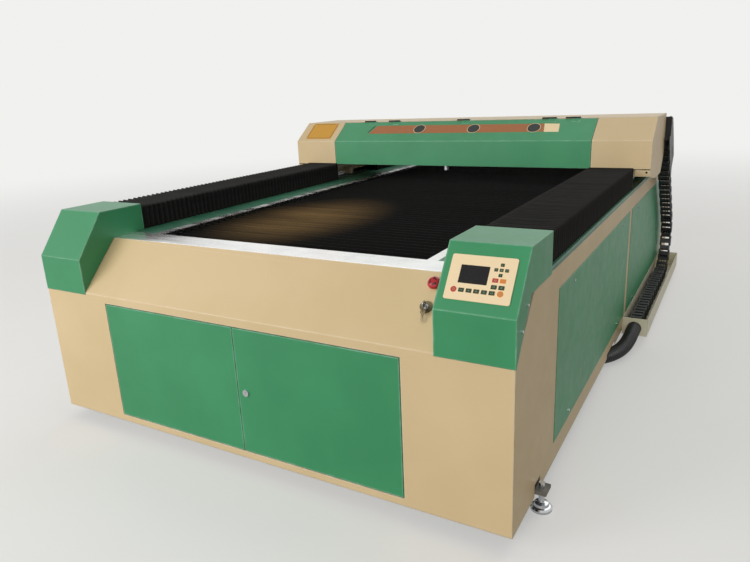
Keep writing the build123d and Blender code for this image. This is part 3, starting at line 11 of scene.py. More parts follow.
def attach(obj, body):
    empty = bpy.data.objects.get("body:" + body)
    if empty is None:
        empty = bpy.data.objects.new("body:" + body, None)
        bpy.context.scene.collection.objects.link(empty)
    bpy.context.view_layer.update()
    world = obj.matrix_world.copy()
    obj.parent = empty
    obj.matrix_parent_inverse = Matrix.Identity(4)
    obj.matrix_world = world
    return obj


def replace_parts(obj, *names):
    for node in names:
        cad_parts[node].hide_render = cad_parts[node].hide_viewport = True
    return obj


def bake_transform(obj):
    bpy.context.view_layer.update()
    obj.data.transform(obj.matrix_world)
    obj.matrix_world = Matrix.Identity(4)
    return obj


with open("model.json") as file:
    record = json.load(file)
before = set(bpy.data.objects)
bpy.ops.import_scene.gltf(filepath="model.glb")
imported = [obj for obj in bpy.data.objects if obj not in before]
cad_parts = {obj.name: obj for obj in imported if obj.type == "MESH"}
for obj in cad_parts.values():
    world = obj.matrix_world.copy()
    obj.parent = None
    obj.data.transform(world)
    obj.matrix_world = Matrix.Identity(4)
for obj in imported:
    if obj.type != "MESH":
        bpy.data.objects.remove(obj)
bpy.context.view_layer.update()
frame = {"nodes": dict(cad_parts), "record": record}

# Millimetres of the bed's own coordinates: x from the centre line, y back from the front sheet,
# z up from the floor. These two carry them into the frame.
MIDDLE = -26.5
FRONT = -1927.5
FRONT_SLOPE = ((0.0, 610.5), (180.0, 803.0))
BOX_SLOPE = ((-2.0, 748.0), (128.0, 921.0))
HOOD_SLOPE = ((1951.0, 1052.0), (2100.0, 1160.0))


def at(x, y, z):
    """A point of the bed's millimetres as a point of the frame."""
    return Vector(((MIDDLE + x) / 1000, (FRONT + y) / 1000, z / 1000))


def slope_frame(slope, x, up, lift):
    """The matrix of a place on a sloping face: X right, Y up the slope, Z out of it."""
    (y0, z0), (y1, z1) = slope
    rise = Vector((0, y1 - y0, z1 - z0)).normalized()
    right = Vector((1, 0, 0))
    out = right.cross(rise)
    place = at(x, y0, z0) + (rise * up + out * lift) / 1000
    return Matrix.Translation(place) @ Matrix((right, rise, out)).transposed().to_4x4()


# Camera
EYE = at(1508.6, -1561.1, 1346.5)
YAW = 0.5299
PITCH = -0.2881
ROLL = -0.046
FOCAL_PIXELS = 638.2
PHOTO_WIDTH = 750


def make_camera():
    """A camera at the photograph's place and angle, with its small roll."""
    data = bpy.data.cameras.new("camera")
    data.sensor_width = 36.0
    data.lens = 36.0 * FOCAL_PIXELS / PHOTO_WIDTH
    data.clip_start, data.clip_end = 0.05, 100.0
    camera = bpy.data.objects.new("camera", data)
    bpy.context.scene.collection.objects.link(camera)
    ahead = Vector((-math.sin(YAW) * math.cos(PITCH), math.cos(YAW) * math.cos(PITCH), math.sin(PITCH)))
    right = ahead.cross(Vector((0, 0, 1))).normalized()
    up = right.cross(ahead)
    tilted_right = right * math.cos(ROLL) + up * math.sin(ROLL)
    tilted_up = up * math.cos(ROLL) - right * math.sin(ROLL)
    turn = Matrix((tilted_right, tilted_up, -ahead)).transposed()
    camera.matrix_world = Matrix.Translation(EYE) @ turn.to_4x4()
    bpy.context.scene.camera = camera


make_camera()


# Meshes
def finish_mesh(build, name, smooth=False):
    """Turn a mesh in the making into Blender's mesh."""
    bmesh.ops.recalc_face_normals(build, faces=build.faces)
    mesh = bpy.data.meshes.new(name)
    build.to_mesh(mesh)
    build.free()
    if smooth:
        mesh.shade_smooth()
    return mesh


def new_piece(build, name, surface, body=None, smooth=False):
    """Turn a mesh in the making into a piece that rides on a body, or on none yet."""
    mesh = finish_mesh(build, name, smooth)
    mesh.materials.append(surface)
    piece = bpy.data.objects.new(name, mesh)
    bpy.context.scene.collection.objects.link(piece)
    if body:
        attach(piece, body)
    return piece


def bridge(build, first, second, closed):
    """Faces between two rows of corners of equal count."""
    count = len(first)
    for index in range(count if closed else count - 1):
        after = (index + 1) % count
        build.faces.new((first[index], first[after], second[after], second[index]))


# Materials
# Middle of the browned part of the table, where most sheets are cut; the brown is partly a painted
# warm reflection
BROWN_MIDDLE = at(-260, 830, 800)


def to_linear(code):
    """A colour written as sRGB hexadecimal, as the linear RGBA value that the shader takes."""
    values = [int(code[place:place + 2], 16) / 255 for place in (1, 3, 5)]
    return (*(v / 12.92 if v <= 0.04045 else ((v + 0.055) / 1.055) ** 2.4 for v in values), 1.0)


def add_node(tree, kind, feeds, **settings):
    """Add a node with its own settings; feeds are the values or outputs that its inputs take."""
    node = tree.nodes.new(kind)
    for name, value in settings.items():
        setattr(node, name, value)
    for socket, feed in feeds.items():
        if isinstance(feed, bpy.types.NodeSocket):
            tree.links.new(feed, node.inputs[socket])
        else:
            node.inputs[socket].default_value = feed
    return node


def new_material(name, colour, sockets):
    """A material whose even values stand on its Principled shader's own sockets, its node tree,
    and the coordinates that its patterns take."""
    material = bpy.data.materials.new(name)
    material.use_nodes = True
    tree = material.node_tree
    shader = tree.nodes["Principled BSDF"]
    shader.inputs["Base Color"].default_value = to_linear(colour)
    for socket, value in sockets.items():
        shader.inputs[socket].default_value = value
    return material, tree, add_node(tree, "ShaderNodeTexCoord", {}).outputs["Object"]


def patterned(material, tone=None, gloss=None, relief=None, under=None):
    """The material, its shader fed by what varies: a node that mixes its colour; a texture with
    the lowest and highest roughness; a texture with its relief in metres and its strength; and
    the normal under that relief."""
    tree = material.node_tree
    sockets = tree.nodes["Principled BSDF"].inputs
    if tone:
        tree.links.new(tone.outputs[2], sockets["Base Color"])
    if gloss:
        texture, low, high = gloss
        spread = add_node(tree, "ShaderNodeMapRange", {
            "Value": texture.outputs["Fac"], "From Min": 0.3, "From Max": 0.7,
            "To Min": low, "To Max": high,
        })
        tree.links.new(spread.outputs["Result"], sockets["Roughness"])
    if relief:
        texture, distance, strength = relief
        feeds = {"Height": texture.outputs["Fac"], "Distance": distance, "Strength": strength}
        if under:
            feeds["Normal"] = under
        bump = add_node(tree, "ShaderNodeBump", feeds)
        tree.links.new(bump.outputs["Normal"], sockets["Normal"])
    return material


def waves_per_metre(size_mm):
    """The noise scale that gives features of a size in millimetres."""
    return 1000.0 / size_mm


def crest_highlight_mask(tree, share):
    """The share of a painted highlight on folds and ribs that stand proud, nothing on flat faces and
    in the valleys.
    """
    shape = add_node(tree, "ShaderNodeNewGeometry", {})
    # Pointiness is 0.5 on a flat face
    crests = add_node(tree, "ShaderNodeMapRange", {
        "Value": shape.outputs["Pointiness"], "From Min": 0.5, "From Max": 0.56, "To Max": share,
    })
    return crests.outputs["Result"]


def powder_coated_steel(name, colour, deep, edge_highlight, dust, roughness):
    """Polyester powder coat on folded sheet steel, sprayed and stoved: a satin skin with orange
    peel, a slightly uneven film, a painted highlight along each fold and rim, and dust on what lies level."""
    material, tree, place = new_material(
        name, colour,
        {"Roughness": roughness, "IOR": 1.5, "Coat Weight": 0.1, "Coat Roughness": 0.3},
    )
    # Film thickness drifts over about a third of a metre
    film = add_node(tree, "ShaderNodeTexNoise", {
        "Vector": place, "Scale": waves_per_metre(330), "Detail": 3.0,
    })
    drift = add_node(tree, "ShaderNodeMapRange", {
        "Value": film.outputs["Fac"], "From Min": 0.35, "From Max": 0.65,
    })
    base = add_node(tree, "ShaderNodeMix", {
        0: drift.outputs["Result"], 6: to_linear(colour), 7: to_linear(deep),
    }, data_type="RGBA")
    # Fine dust in cloudy patches, only on faces that look up
    cloud = add_node(tree, "ShaderNodeTexNoise", {
        "Vector": place, "Scale": waves_per_metre(60), "Detail": 8.0, "Roughness": 0.65,
    })
    patch = add_node(tree, "ShaderNodeMapRange", {
        "Value": cloud.outputs["Fac"], "From Min": 0.4, "From Max": 0.7, "To Min": 0.05, "To Max": 0.3,
    })
    facing = add_node(tree, "ShaderNodeSeparateXYZ", {"Vector": place.node.outputs["Normal"]})
    level = add_node(tree, "ShaderNodeMapRange", {
        "Value": facing.outputs["Z"], "From Min": 0.75, "From Max": 1.0,
    })
    settled = add_node(tree, "ShaderNodeMath", {0: level.outputs["Result"], 1: patch.outputs["Result"]},
                       operation="MULTIPLY")
    dusty = add_node(tree, "ShaderNodeMix", {
        0: settled.outputs["Value"], 6: base.outputs[2], 7: to_linear(dust),
    }, data_type="RGBA")
    # Painted highlight along folds and rims, in a lighter colour: 3 mm wide there, drawn 6 mm wide so
    # that it shows. The rounded and the flat normal part by 4 to 17 degrees
    rounded = add_node(tree, "ShaderNodeBevel", {"Radius": 0.006}, samples=4)
    flat = add_node(tree, "ShaderNodeNewGeometry", {})
    agree = add_node(tree, "ShaderNodeVectorMath", {
        0: rounded.outputs["Normal"], 1: flat.outputs["Normal"],
    }, operation="DOT_PRODUCT")
    edges = add_node(tree, "ShaderNodeMapRange", {
        "Value": agree.outputs["Value"], "From Min": 0.998, "From Max": 0.955,
    })
    # Noise breaks the painted highlight up in patches along the folds
    breaks = add_node(tree, "ShaderNodeTexNoise", {
        "Vector": place, "Scale": waves_per_metre(40), "Detail": 4.0,
    })
    worn = add_node(tree, "ShaderNodeMapRange", {
        "Value": breaks.outputs["Fac"], "From Min": 0.35, "From Max": 0.7, "To Min": 0.35, "To Max": 0.9,
    })
    edge_highlight_share = add_node(tree, "ShaderNodeMath", {0: edges.outputs["Result"], 1: worn.outputs["Result"]},
                    operation="MULTIPLY")
    painted = add_node(tree, "ShaderNodeMix", {
        0: edge_highlight_share.outputs["Value"], 6: dusty.outputs[2], 7: to_linear(edge_highlight),
    }, data_type="RGBA")
    # Orange peel is 1.5 mm across; drawn at 7 mm, because finer doesn't show at this distance
    peel = add_node(tree, "ShaderNodeTexNoise", {
        "Vector": place, "Scale": waves_per_metre(7), "Detail": 2.0,
    })
    # Sheet that was cut and folded is never quite flat: slow waves 400 mm apart
    sway = add_node(tree, "ShaderNodeTexNoise", {
        "Vector": place, "Scale": waves_per_metre(400), "Detail": 1.0,
    })
    wavy = add_node(tree, "ShaderNodeBump", {
        "Height": sway.outputs["Fac"], "Distance": 0.004, "Strength": 0.35,
        "Normal": rounded.outputs["Normal"],
    })
    return patterned(
        material, painted, gloss=(cloud, roughness - 0.05, roughness + 0.08),
        relief=(peel, 0.00012, 0.4), under=wavy.outputs["Normal"],
    )


def drawn_metal(name, colour, stain, roughness, grain, metallic=1.0):
    """Metal drawn, milled or brushed along one axis: streaked gloss, and dull patches where
    hands and dust have been. The grain is the streaks' size in millimetres along each axis.
    Real lines are 0.2 mm wide; these are drawn wider, because finer doesn't show."""
    material, tree, place = new_material(name, colour, {"Metallic": metallic})
    stretched = add_node(tree, "ShaderNodeMapping", {
        "Vector": place, "Scale": tuple(waves_per_metre(size) for size in grain),
    })
    streaks = add_node(tree, "ShaderNodeTexNoise", {
        "Vector": stretched.outputs["Vector"], "Scale": 1.0, "Detail": 4.0,
    })
    patches = add_node(tree, "ShaderNodeTexNoise", {
        "Vector": place, "Scale": waves_per_metre(90), "Detail": 5.0,
    })
    dulled = add_node(tree, "ShaderNodeMapRange", {
        "Value": patches.outputs["Fac"], "From Min": 0.45, "From Max": 0.7,
    })
    tone = add_node(tree, "ShaderNodeMix", {
        0: dulled.outputs["Result"], 6: to_linear(colour), 7: to_linear(stain),
    }, data_type="RGBA")
    return patterned(
        material, tone, gloss=(streaks, roughness - 0.07, roughness + 0.12),
        relief=(streaks, 0.00003, 0.3),
    )


def moulded_plastic(name, colour, scuff_and_highlight, roughness, grain_mm, crests=0.0):
    """Injection-moulded plastic or rubber: a fine spark-eroded grain, greyed where it is rubbed,
    and with a painted highlight on its ribs by the share that crests gives."""
    material, tree, place = new_material(name, colour, {"IOR": 1.49})
    rubbed = add_node(tree, "ShaderNodeTexNoise", {
        "Vector": place, "Scale": waves_per_metre(35), "Detail": 6.0,
    })
    share = add_node(tree, "ShaderNodeMapRange", {
        "Value": rubbed.outputs["Fac"], "From Min": 0.4, "From Max": 0.75,
    })
    # Rubbed patches are wear; the lighter colour on the ribs is a painted highlight
    greyed = add_node(tree, "ShaderNodeMath", {0: share.outputs["Result"], 1: crest_highlight_mask(tree, crests)},
                      operation="MAXIMUM")
    tone = add_node(tree, "ShaderNodeMix", {
        0: greyed.outputs["Value"], 6: to_linear(colour), 7: to_linear(scuff_and_highlight),
    }, data_type="RGBA")
    # The grain is 0.1 mm across; drawn at 3 to 5 mm, because finer doesn't show
    grain = add_node(tree, "ShaderNodeTexNoise", {
        "Vector": place, "Scale": waves_per_metre(grain_mm), "Detail": 2.0,
    })
    return patterned(
        material, tone, gloss=(rubbed, roughness - 0.05, roughness + 0.1),
        relief=(grain, 0.00005, 0.35),
    )


def coated_cloth(name):
    """Woven polyester with a vinyl coat, folded and sewn: black and dull, with grey dust that
    has settled on what looks up, and a painted highlight of that grey on the crests of the folds."""
    material, tree, place = new_material(name, "#0E0E0E", {"IOR": 1.5, "Specular IOR Level": 0.16})
    cloud = add_node(tree, "ShaderNodeTexNoise", {
        "Vector": place, "Scale": waves_per_metre(70), "Detail": 8.0, "Roughness": 0.6,
    })
    patch = add_node(tree, "ShaderNodeMapRange", {
        "Value": cloud.outputs["Fac"], "From Min": 0.35, "From Max": 0.7, "To Min": 0.2, "To Max": 0.9,
    })
    facing = add_node(tree, "ShaderNodeSeparateXYZ", {"Vector": place.node.outputs["Normal"]})
    level = add_node(tree, "ShaderNodeMapRange", {
        "Value": facing.outputs["Z"], "From Min": 0.55, "From Max": 0.98,
    })
    # Painted highlight: the crests of the folds take the dust's grey too, so that the pleats show
    dust_and_crest_highlight = add_node(tree, "ShaderNodeMath", {0: level.outputs["Result"], 1: crest_highlight_mask(tree, 0.75)},
                    operation="MAXIMUM")
    settled = add_node(tree, "ShaderNodeMath", {0: dust_and_crest_highlight.outputs["Value"], 1: patch.outputs["Result"]},
                       operation="MULTIPLY")
    tone = add_node(tree, "ShaderNodeMix", {
        0: settled.outputs["Value"], 6: to_linear("#0A0A0A"), 7: to_linear("#2F2C26"),
    }, data_type="RGBA")
    # Threads are 0.5 mm apart; drawn as soft bands 21.8 mm apart, because finer doesn't show at
    # this distance. Diagonal bands repeat after a turn over the scale times 10 times root 3
    warp = add_node(tree, "ShaderNodeTexWave", {
        "Vector": place, "Scale": waves_per_metre(21.8) * math.tau / 10 / math.sqrt(3), "Distortion": 0.6,
    }, bands_direction="DIAGONAL")
    return patterned(material, tone, gloss=(cloud, 0.48, 0.66), relief=(warp, 0.0001, 0.35))


def oiled_strip_steel(name):
    """Cold-rolled strip with its oil on, cut into blades: near black, with drawn streaks, and
    browned by heat and smoke where most sheets are cut, a brown that is partly a painted warm
    reflection."""
    material, tree, place = new_material(name, "#111110", {"Metallic": 0.4, "Specular IOR Level": 0.15})
    cut_area = add_node(tree, "ShaderNodeVectorMath", {
        0: place, 1: BROWN_MIDDLE,
    }, operation="SUBTRACT")
    # An oval about 0.8 m across and 1.3 m along
    flattened = add_node(tree, "ShaderNodeVectorMath", {
        0: cut_area.outputs["Vector"], 1: (2.0, 1.3, 0.0),
    }, operation="MULTIPLY")
    distance = add_node(tree, "ShaderNodeVectorMath", {0: flattened.outputs["Vector"]}, operation="LENGTH")
    near = add_node(tree, "ShaderNodeMapRange", {
        "Value": distance.outputs["Value"], "From Min": 0.1, "From Max": 0.85, "To Min": 0.9, "To Max": 0.0,
    }, interpolation_type="SMOOTHSTEP")
    # Smoke lies in streaks about 0.9 m long, a little different on each blade
    stretched = add_node(tree, "ShaderNodeMapping", {
        "Vector": place,
        "Scale": (waves_per_metre(900), waves_per_metre(60), waves_per_metre(60)),
    })
    smoke = add_node(tree, "ShaderNodeTexNoise", {
        "Vector": stretched.outputs["Vector"], "Scale": 1.0, "Detail": 3.0, "Roughness": 0.6,
    })
    patch = add_node(tree, "ShaderNodeMapRange", {
        "Value": smoke.outputs["Fac"], "From Min": 0.3, "From Max": 0.7, "To Min": 0.45,
    })
    share = add_node(tree, "ShaderNodeMath", {0: near.outputs["Result"], 1: patch.outputs["Result"]},
                     operation="MULTIPLY")
    # The brown is partly heat and smoke stain and partly a painted warm reflection
    tone = add_node(tree, "ShaderNodeMix", {
        0: share.outputs["Value"], 6: to_linear("#121211"), 7: to_linear("#816742"),
    }, data_type="RGBA")
    # Rolling lines are 0.2 mm apart; drawn 3 mm apart so that they show
    drawn = add_node(tree, "ShaderNodeMapping", {
        "Vector": place,
        "Scale": (waves_per_metre(160), waves_per_metre(3), waves_per_metre(3)),
    })
    lines = add_node(tree, "ShaderNodeTexNoise", {
        "Vector": drawn.outputs["Vector"], "Scale": 1.0, "Detail": 2.0,
    })
    return patterned(material, tone, gloss=(smoke, 0.5, 0.7), relief=(lines, 0.0001, 0.3))


def blown_glass(name):
    """Borosilicate tube, blown and drawn: clear, with a faint green and slow waves in the wall."""
    material, tree, place = new_material(
        name, "#E4F0EC", {"Roughness": 0.03, "IOR": 1.47, "Transmission Weight": 0.85},
    )
    wall = add_node(tree, "ShaderNodeTexNoise", {
        "Vector": place, "Scale": waves_per_metre(60), "Detail": 2.0,
    })
    return patterned(material, relief=(wall, 0.0006, 0.4))


def display_glass(name):
    """Float glass over a liquid-crystal panel that is off: almost black, smooth, finger-marked."""
    material, tree, place = new_material(name, "#1E1C1D", {"IOR": 1.52, "Specular IOR Level": 0.2})
    marks = add_node(tree, "ShaderNodeTexNoise", {
        "Vector": place, "Scale": waves_per_metre(18), "Detail": 4.0,
    })
    gloss = add_node(tree, "ShaderNodeMapRange", {
        "Value": marks.outputs["Fac"], "From Min": 0.35, "From Max": 0.7, "To Min": 0.22, "To Max": 0.3,
    })
    tree.links.new(gloss.outputs["Result"], tree.nodes["Principled BSDF"].inputs["Roughness"])
    tone = add_node(tree, "ShaderNodeMix", {
        0: marks.outputs["Fac"], 6: to_linear("#1C1A1B"), 7: to_linear("#201E1F"),
    }, data_type="RGBA")
    return patterned(material, tone)


def printed_film(name, colour, faded, roughness=0.42):
    """Screen-printed polyester film: flat ink under a fine matt texture, a little uneven."""
    material, tree, place = new_material(name, colour, {"IOR": 1.5})
    ink = add_node(tree, "ShaderNodeTexNoise", {
        "Vector": place, "Scale": waves_per_metre(25), "Detail": 5.0,
    })
    tone = add_node(tree, "ShaderNodeMix", {
        0: ink.outputs["Fac"], 6: to_linear(colour), 7: to_linear(faded),
    }, data_type="RGBA")
    # The matt texture is 0.2 mm; drawn at 2 mm, because finer doesn't show
    texture = add_node(tree, "ShaderNodeTexNoise", {
        "Vector": place, "Scale": waves_per_metre(2), "Detail": 1.0,
    })
    return patterned(
        material, tone, gloss=(ink, roughness - 0.05, roughness + 0.07), relief=(texture, 0.00003, 0.3),
    )


# Each paint: its colour, a deeper tone, a lighter one for the painted highlight on folds and rims, dust,
# roughness
finishes = {
    "cream_paint": powder_coated_steel(
        "cream_powder_coat", "#D6BD92", "#D0B78A", "#F2E6CC", "#C9C2B2", 0.48),
    "green_paint": powder_coated_steel(
        "green_powder_coat", "#338E5C", "#2C8454", "#A9DBBE", "#9DB9AC", 0.42),
    "panel_film": printed_film("keypad_polyester", "#F6DFB6", "#F1D7AC"),
    "screen_glass": display_glass("display_glass"),
    "black_plastic": moulded_plastic("black_nylon", "#161618", "#29292B", 0.42, 3.0),
    "black_fabric": coated_cloth("vinyl_coated_polyester"),
    "black_steel": drawn_metal("blackened_steel", "#1A1B1C", "#2A2A2A", 0.42, (40, 8, 8), 0.5),
    "bare_steel": drawn_metal("brushed_galvanised_steel", "#FCFCFC", "#F0F1F2", 0.26, (400, 60, 8)),
    "plated_steel": drawn_metal("bright_zinc_plate", "#D0D2D4", "#ABADB0", 0.16, (6, 6, 20)),
    "bare_aluminium": drawn_metal("satin_anodised_aluminium", "#C6C9CC", "#AEB1B4", 0.34, (60, 4, 4)),
    "red_plastic": moulded_plastic("red_abs", "#BE1E28", "#A3161E", 0.24, 5.0),
    "yellow_plastic": moulded_plastic("yellow_abs", "#E0AC18", "#C99612", 0.32, 5.0),
    "belt_rubber": moulded_plastic("belt_polyurethane", "#19191A", "#2C2B2A", 0.62, 3.0),
    "tube_glass": blown_glass("borosilicate_glass"),
}
strip_steel = oiled_strip_steel("oiled_strip_steel")
smoked_steel = drawn_metal("smoked_primed_steel", "#262422", "#1C1A18", 0.6, (60, 20, 20), 0.0)
node_finishes = {
    "blade_combs": finishes["black_steel"],
    "bed_rails": smoked_steel,
    "bed_cross_tubes": smoked_steel,
    "knife_blades": strip_steel,
    "chain_bracket": finishes["black_steel"],
    # Painted shade: the posts are grey instead of the frame's cream, so that their foot lugs look shaded
    "bed_posts": drawn_metal("painted_shade_grey_steel", "#77756E", "#5E5C56", 0.5, (60, 20, 20), 0.0),
    # Painted light: the chain tray takes a paler cream than the body, for the light on its front plate
    "chain_tray": powder_coated_steel(
        "painted_light_cream_powder_coat", "#E9E2C6", "#E0D8BC", "#F6F0DA", "#CFCABB", 0.46),
    # Painted shade: the deck plates beside the bellows take a darker green than the body's paint
    "deck_plates": powder_coated_steel(
        "painted_shade_green_powder_coat", "#277050", "#1F5F44", "#7FB89A", "#5F7F70", 0.4),
    "scrap_tray": drawn_metal("smoked_galvanised_steel", "#77746E", "#4E4A44", 0.42, (400, 60, 8)),
    "panel_screws": finishes["plated_steel"],
    "key_switch_base": drawn_metal("black_nickel_plate", "#8A7F63", "#5E5743", 0.24, (8, 8, 8)),
}
for entry in frame["record"]["subparts"]:
    node = frame["nodes"][entry["node"]]
    node.data.materials.clear()
    node.data.materials.append(node_finishes.get(entry["node"], finishes[entry["material_slot"]]))

# Hose: the route's points are those of the solid it replaces
HOSE_RADIUS = 0.036
HOSE_ROUTE = (
    (1086, 1865, 80), (1086, 1790, 80), (1084, 1716, 71), (1072, 1642, 54), (1042, 1572, 42),
    (994, 1508, 38), (930, 1458, 38), (855, 1427, 38), (776, 1418, 38),
)
CORRUGATION = 0.012
GROOVE_DEPTH = 0.003
HOSE_STEPS = 6
HOSE_SIDES = 32


def route_points():
    """Points along the hose's smooth line."""
    curve = bpy.data.curves.new("route", "CURVE")
    curve.dimensions = "3D"
    curve.resolution_u = 24
    spline = curve.splines.new("NURBS")
    spline.points.add(len(HOSE_ROUTE) - 1)
    for point, place in zip(spline.points, HOSE_ROUTE):
        point.co = (*at(*place), 1.0)
    spline.order_u = 3
    spline.use_endpoint_u = True
    holder = bpy.data.objects.new("route", curve)
    bpy.context.scene.collection.objects.link(holder)
    mesh = bpy.data.meshes.new_from_object(holder)
    points = [vertex.co.copy() for vertex in mesh.vertices]
    bpy.data.objects.remove(holder)
    bpy.data.meshes.remove(mesh)
    return points


def resample(points, step):
    """Points at equal steps along a line of points, its ends kept, and the line's length."""
    lengths = [0.0]
    for before, after in zip(points, points[1:]):
        lengths.append(lengths[-1] + (after - before).length)
    count = max(2, round(lengths[-1] / step))
    result = []
    place = 0
    for index in range(count + 1):
        target = lengths[-1] * index / count
        while place < len(points) - 2 and lengths[place + 1] < target:
            place += 1
        span = lengths[place + 1] - lengths[place]
        share = (target - lengths[place]) / span if span else 0.0
        result.append(points[place].lerp(points[place + 1], share))
    return result, lengths[-1]


def tube(points, radii, sides):
    """A tube along points, with its own radius at each, closed at both ends."""
    build = bmesh.new()
    normal = (points[1] - points[0]).cross(Vector((0, 0, 1))).normalized()
    rings = []
    for index, point in enumerate(points):
        ahead = points[min(index + 1, len(points) - 1)] - points[max(index - 1, 0)]
        ahead.normalize()
        normal = (normal - ahead * normal.dot(ahead)).normalized()
        other = ahead.cross(normal)
        ring = []
        for side in range(sides):
            angle = math.tau * side / sides
            offset = (normal * math.cos(angle) + other * math.sin(angle)) * radii[index]
            ring.append(build.verts.new(point + offset))
        rings.append(ring)
    for first, second in zip(rings, rings[1:]):
        bridge(build, first, second, True)
    build.faces.new(rings[0][::-1])
    build.faces.new(rings[-1])
    return build


def make_hose():
    """Corrugated hose between the tray's front plate and the plate under the bed."""
    points, length = resample(route_points(), CORRUGATION / HOSE_STEPS)
    radii = []
    for index in range(len(points)):
        # A wave cut off near its top and bottom: broad round ribs, narrow grooves
        wave = max(-0.8, min(0.9, 1.5 * math.cos(math.tau * index / HOSE_STEPS)))
        radii.append(HOSE_RADIUS - GROOVE_DEPTH + GROOVE_DEPTH * wave)
    # The hose's ribs get a painted highlight in the lighter colour, so that the corrugations show
    surface = moulded_plastic("corrugated_polyamide", "#0B0B0C", "#29292B", 0.3, 3.0, 0.8)
    skin = tube(points, radii, HOSE_SIDES)
    hose = new_piece(skin, "corrugated_hose", surface, "bed", True)
    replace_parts(hose, "cable_hose")


make_hose()


# Printed and applied pieces, each a thin plate with its own outline, in millimetres
def round_rectangle(width, height, radius, steps=5):
    """Corner points of a rectangle with round corners."""
    points = []
    for sign_x, sign_y, start in ((1, 1, 0), (-1, 1, 90), (-1, -1, 180), (1, -1, 270)):
        for step in range(steps + 1):
            angle = math.radians(start + 90 * step / steps)
            points.append((
                sign_x * (width / 2 - radius) + radius * math.cos(angle),
                sign_y * (height / 2 - radius) + radius * math.sin(angle),
            ))
    return points


def disc(radius, sides=32):
    """Points of a circle."""
    return [
        (radius * math.cos(math.tau * side / sides), radius * math.sin(math.tau * side / sides))
        for side in range(sides)
    ]


def moved(outline, x, y, turn=0.0):
    """An outline turned by degrees and then moved."""
    cos, sin = math.cos(math.radians(turn)), math.sin(math.radians(turn))
    return [(x + a * cos - b * sin, y + a * sin + b * cos) for a, b in outline]


def washer(outer, inner, place, sides=32):
    """Both outlines of a flat ring around a place."""
    return moved(disc(outer, sides), *place), moved(disc(inner, sides), *place)


def add_plate(build, outline, low, high):
    """A flat plate of an outline between two heights."""
    below = [build.verts.new((x / 1000, y / 1000, low / 1000)) for x, y in outline]
    above = [build.verts.new((x / 1000, y / 1000, high / 1000)) for x, y in outline]
    bridge(build, below, above, True)
    build.faces.new(below[::-1])
    build.faces.new(above)


def add_frame(build, outer, inner, low, high):
    """A flat frame between two outlines of equal count."""
    rings = [
        [build.verts.new((x / 1000, y / 1000, height / 1000)) for x, y in outline]
        for outline, height in ((outer, low), (outer, high), (inner, high), (inner, low))
    ]
    for index in range(4):
        bridge(build, rings[index], rings[(index + 1) % 4], True)


def applied(name, slope, low, high, plates, frames, surface, body):
    """One piece of plates and frames that lie on a sloping face, between two heights above it."""
    build = bmesh.new()
    for outline in plates:
        add_plate(build, outline, low, high)
    for outer, inner in frames:
        add_frame(build, outer, inner, low, high)
    build.transform(slope_frame(slope, 0.0, 0.0, 0.0))
    new_piece(build, name, surface, body)


# Keypad: ink on each raised pad, and a small plain sign on each
KEY_TOP = 3.8
INK = 0.12
PAD = (17.0, 12.5, 1.6)
ARROW_PAD = (11.0, 10.0, 1.4)
ROUND_PAD = 8.8
GREEN_KEYS = ((944, 84), (966, 84), (852, 66), (874.5, 66), (897, 66), (919.5, 66), (942, 66))
ARROW_KEYS = ((955.5, 151, 90), (940, 135.5, 180), (971, 135.5, 0), (955.5, 120, 270))
ORIGIN_KEY = (955.5, 135.5)
STOP_KEY = (944, 104)
START_KEY = (966, 104)
RESET_KEY = (829, 66)
ENTER_KEY = (966, 66)
TRIANGLE = ((1.7, 0.0), (-1.1, 1.4), (-1.1, -1.4))
BAR = round_rectangle(5.2, 1.0, 0.4)
TICK = round_rectangle(1.0, 1.5, 0.4)
PAUSE_BAR = round_rectangle(2.0, 5.6, 0.4)
WINDOW = (round_rectangle(5.4, 3.8, 0.7), round_rectangle(4.0, 2.4, 0.5))
SMALL_RING = (2.6, 1.5)
LARGE_RING = (3.8, 2.7)
# Each kind of sign as parts with their places on the key; the first has a window instead
SIGN_KINDS = (
    (),
    ((BAR, 0.0, 1.6), (BAR, 0.0, -1.6)),
    ((TRIANGLE, -2.0, 0.0), (TRIANGLE, 2.6, 0.0)),
    ((BAR, 0.0, 0.0), (TICK, 0.0, 2.0), (TICK, 0.0, -2.0)),
)

dark_ink = printed_film("green_black_ink", "#15300F", "#122A0E")
red_ink = printed_film("red_ink", "#C0302B", "#B22A26")
orange_ink = printed_film("orange_ink", "#E08536", "#D6792C")
light_ink = printed_film("pale_green_ink", "#94A37C", "#8B9A74")

dark_pads = [moved(round_rectangle(*PAD), x, y) for x, y in GREEN_KEYS]
dark_pads += [moved(round_rectangle(*ARROW_PAD), x, y) for x, y, turn in ARROW_KEYS]
dark_pads.append(moved(round_rectangle(*ARROW_PAD), *ORIGIN_KEY))
red_pads = [moved(round_rectangle(*PAD), *STOP_KEY), moved(disc(ROUND_PAD), *RESET_KEY)]
orange_pads = [moved(round_rectangle(*PAD), *START_KEY), moved(disc(ROUND_PAD), *ENTER_KEY)]
for name, pads, ink in (
    ("keypad_dark_ink", dark_pads, dark_ink),
    ("keypad_red_ink", red_pads, red_ink),
    ("keypad_orange_ink", orange_pads, orange_ink),
):
    applied(name, BOX_SLOPE, KEY_TOP, KEY_TOP + INK, pads, [], ink, "bed")

